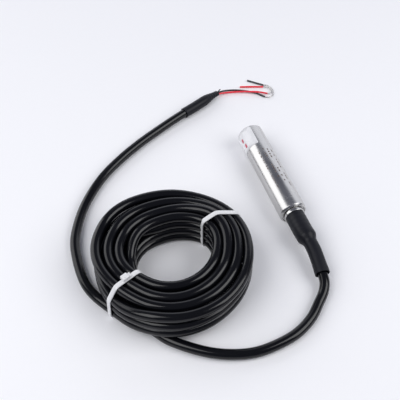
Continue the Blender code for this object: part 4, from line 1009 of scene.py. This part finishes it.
# Nose cap: a flat perforated cap in the open front, with the pressure port in its middle and bleed holes
# round it. It is turned from the same stainless bar.
CAP_RADIUS, CAP_BORE, PORT_RADIUS = 0.0093, 0.0075, 0.0032
CAP_DEPTH, CAP_FLOOR, CAP_CHAMFER = 0.0090, 0.0025, 0.0005
BLEED_HOLES, BLEED_CIRCLE, BLEED_RADIUS = 6, 0.0055, 0.0008
cap_outline = [
    (CAP_DEPTH, CAP_RADIUS), (CAP_CHAMFER, CAP_RADIUS), (0.0, CAP_RADIUS - CAP_CHAMFER),
    (0.0, PORT_RADIUS + CAP_CHAMFER), (CAP_CHAMFER, PORT_RADIUS), (CAP_FLOOR, PORT_RADIUS),
    (CAP_FLOOR, CAP_BORE), (CAP_DEPTH, CAP_BORE),
]
cap = turned("cap", rounded(cap_outline, (0, 0.0002, 0.0002, 0.0002, 0.0002, 0, 0, 0)), sides=128)
drills = bmesh.new()
for i in range(BLEED_HOLES):
    angle = 2 * math.pi * i / BLEED_HOLES
    across, rise = BLEED_CIRCLE * math.cos(angle), BLEED_CIRCLE * math.sin(angle)
    spot = Matrix.Translation((across, NOSE_Y - CAP_FLOOR / 2, AXIS_HEIGHT + rise))
    bmesh.ops.create_cone(drills, cap_ends=True, segments=32, radius1=BLEED_RADIUS, radius2=BLEED_RADIUS,
                          depth=0.006, matrix=spot @ Matrix.Rotation(math.pi / 2, 4, "X"))
drill_mesh = bpy.data.meshes.new("drills")
drills.to_mesh(drill_mesh)
drills.free()
drill = placed("drills", drill_mesh)
holes = cap.modifiers.new("holes", "BOOLEAN")
holes.operation = "DIFFERENCE"
holes.solver = "EXACT"
holes.object = drill
bpy.context.view_layer.update()
cap.data = bpy.data.meshes.new_from_object(cap.evaluated_get(bpy.context.evaluated_depsgraph_get()))
cap.modifiers.clear()
bpy.data.objects.remove(drill)
cap.data.shade_smooth()
cap.data.set_sharp_from_angle(angle=math.radians(30))
cap_steel = skinned(
    "cap_stainless", (0.52, 0.515, 0.51), (0.64, 0.635, 0.625), 0.2, 0.34, tone_scale=160.0,
    grain_scale=1600.0, scuff=0.4, bump=0.2, depth=0.00001, Metallic=1.0)
cap.data.materials.append(cap_steel)
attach(cap, "root")
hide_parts("nose_cap")


# Inside the housing: capsule, board, seals and cable clamp, as machined and moulded. They keep the
# solids' own shapes and take finishes with grain. A row has nodes, two colours, two roughnesses and a
# metallic share.
INNER = {
    "turned_stainless": (("retaining_ring", "diaphragm", "sensor_capsule", "capsule_vent_tube",
                          "compression_nut"),
                         (0.52, 0.515, 0.51), (0.64, 0.635, 0.625), 0.2, 0.35, 1.0),
    "seal_rubber": (("capsule_o_ring", "gland_o_ring", "seal_grommet"), (0.015, 0.015, 0.017),
                    (0.03, 0.03, 0.032), 0.5, 0.7, 0.0),
    "insulating_film": (("insulating_sleeve",), (0.68, 0.58, 0.33), (0.78, 0.69, 0.43), 0.35, 0.5, 0.0),
    "holder_plastic": (("board_holder_front", "board_holder_rear"), (0.76, 0.76, 0.73), (0.86, 0.86, 0.83),
                       0.4, 0.55, 0.0),
    "board_green": (("circuit_board",), (0.015, 0.13, 0.055), (0.03, 0.19, 0.09), 0.3, 0.45, 0.0),
    "chip_epoxy": (("chip_1", "chip_2"), (0.012, 0.012, 0.013), (0.025, 0.025, 0.027), 0.45, 0.6, 0.0),
    "trimmer_blue": (("trimmer_1", "trimmer_2"), (0.02, 0.08, 0.40), (0.05, 0.14, 0.5), 0.3, 0.45, 0.0),
    "can_aluminium": (("capacitor_1", "capacitor_2"), (0.62, 0.62, 0.64), (0.74, 0.74, 0.76), 0.25, 0.4, 1.0),
    "pvc_red": (("board_wire_red",), (0.55, 0.012, 0.02), (0.66, 0.03, 0.04), 0.3, 0.45, 0.0),
    "pvc_black": (("board_wire_black",), (0.012, 0.012, 0.014), (0.03, 0.03, 0.035), 0.3, 0.45, 0.0),
    "vent_nylon": (("board_vent_tube",), (0.72, 0.72, 0.70), (0.84, 0.84, 0.82), 0.3, 0.45, 0.0),
    "brass_parts": (("cable_crimp", "thrust_washer_front", "thrust_washer_rear"), (0.62, 0.45, 0.19),
                    (0.74, 0.57, 0.28), 0.25, 0.4, 1.0),
    "gold_plating": (tuple(f"header_pin_{i}" for i in range(1, 5)), (0.80, 0.56, 0.20), (0.9, 0.68, 0.3), 0.2,
                     0.35, 1.0),
    "lead_enamel": (tuple(f"header_lead_{i}" for i in range(1, 5)), (0.48, 0.25, 0.09), (0.6, 0.34, 0.15),
                    0.35, 0.5, 0.0),
}
for slot_name, (nodes, deep, pale, least, most, metal) in INNER.items():
    inner_finish = skinned(f"inner_{slot_name}", deep, pale, least, most, tone_scale=240.0,
                           grain_scale=2400.0,
                                    scuff=0.35, bump=0.15, depth=0.00001, Metallic=metal)
    for node in nodes:
        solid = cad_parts[node]
        solid.data.materials.clear()
        solid.data.materials.append(inner_finish)

scene = bpy.context.scene
scene.view_settings.view_transform = "Standard"
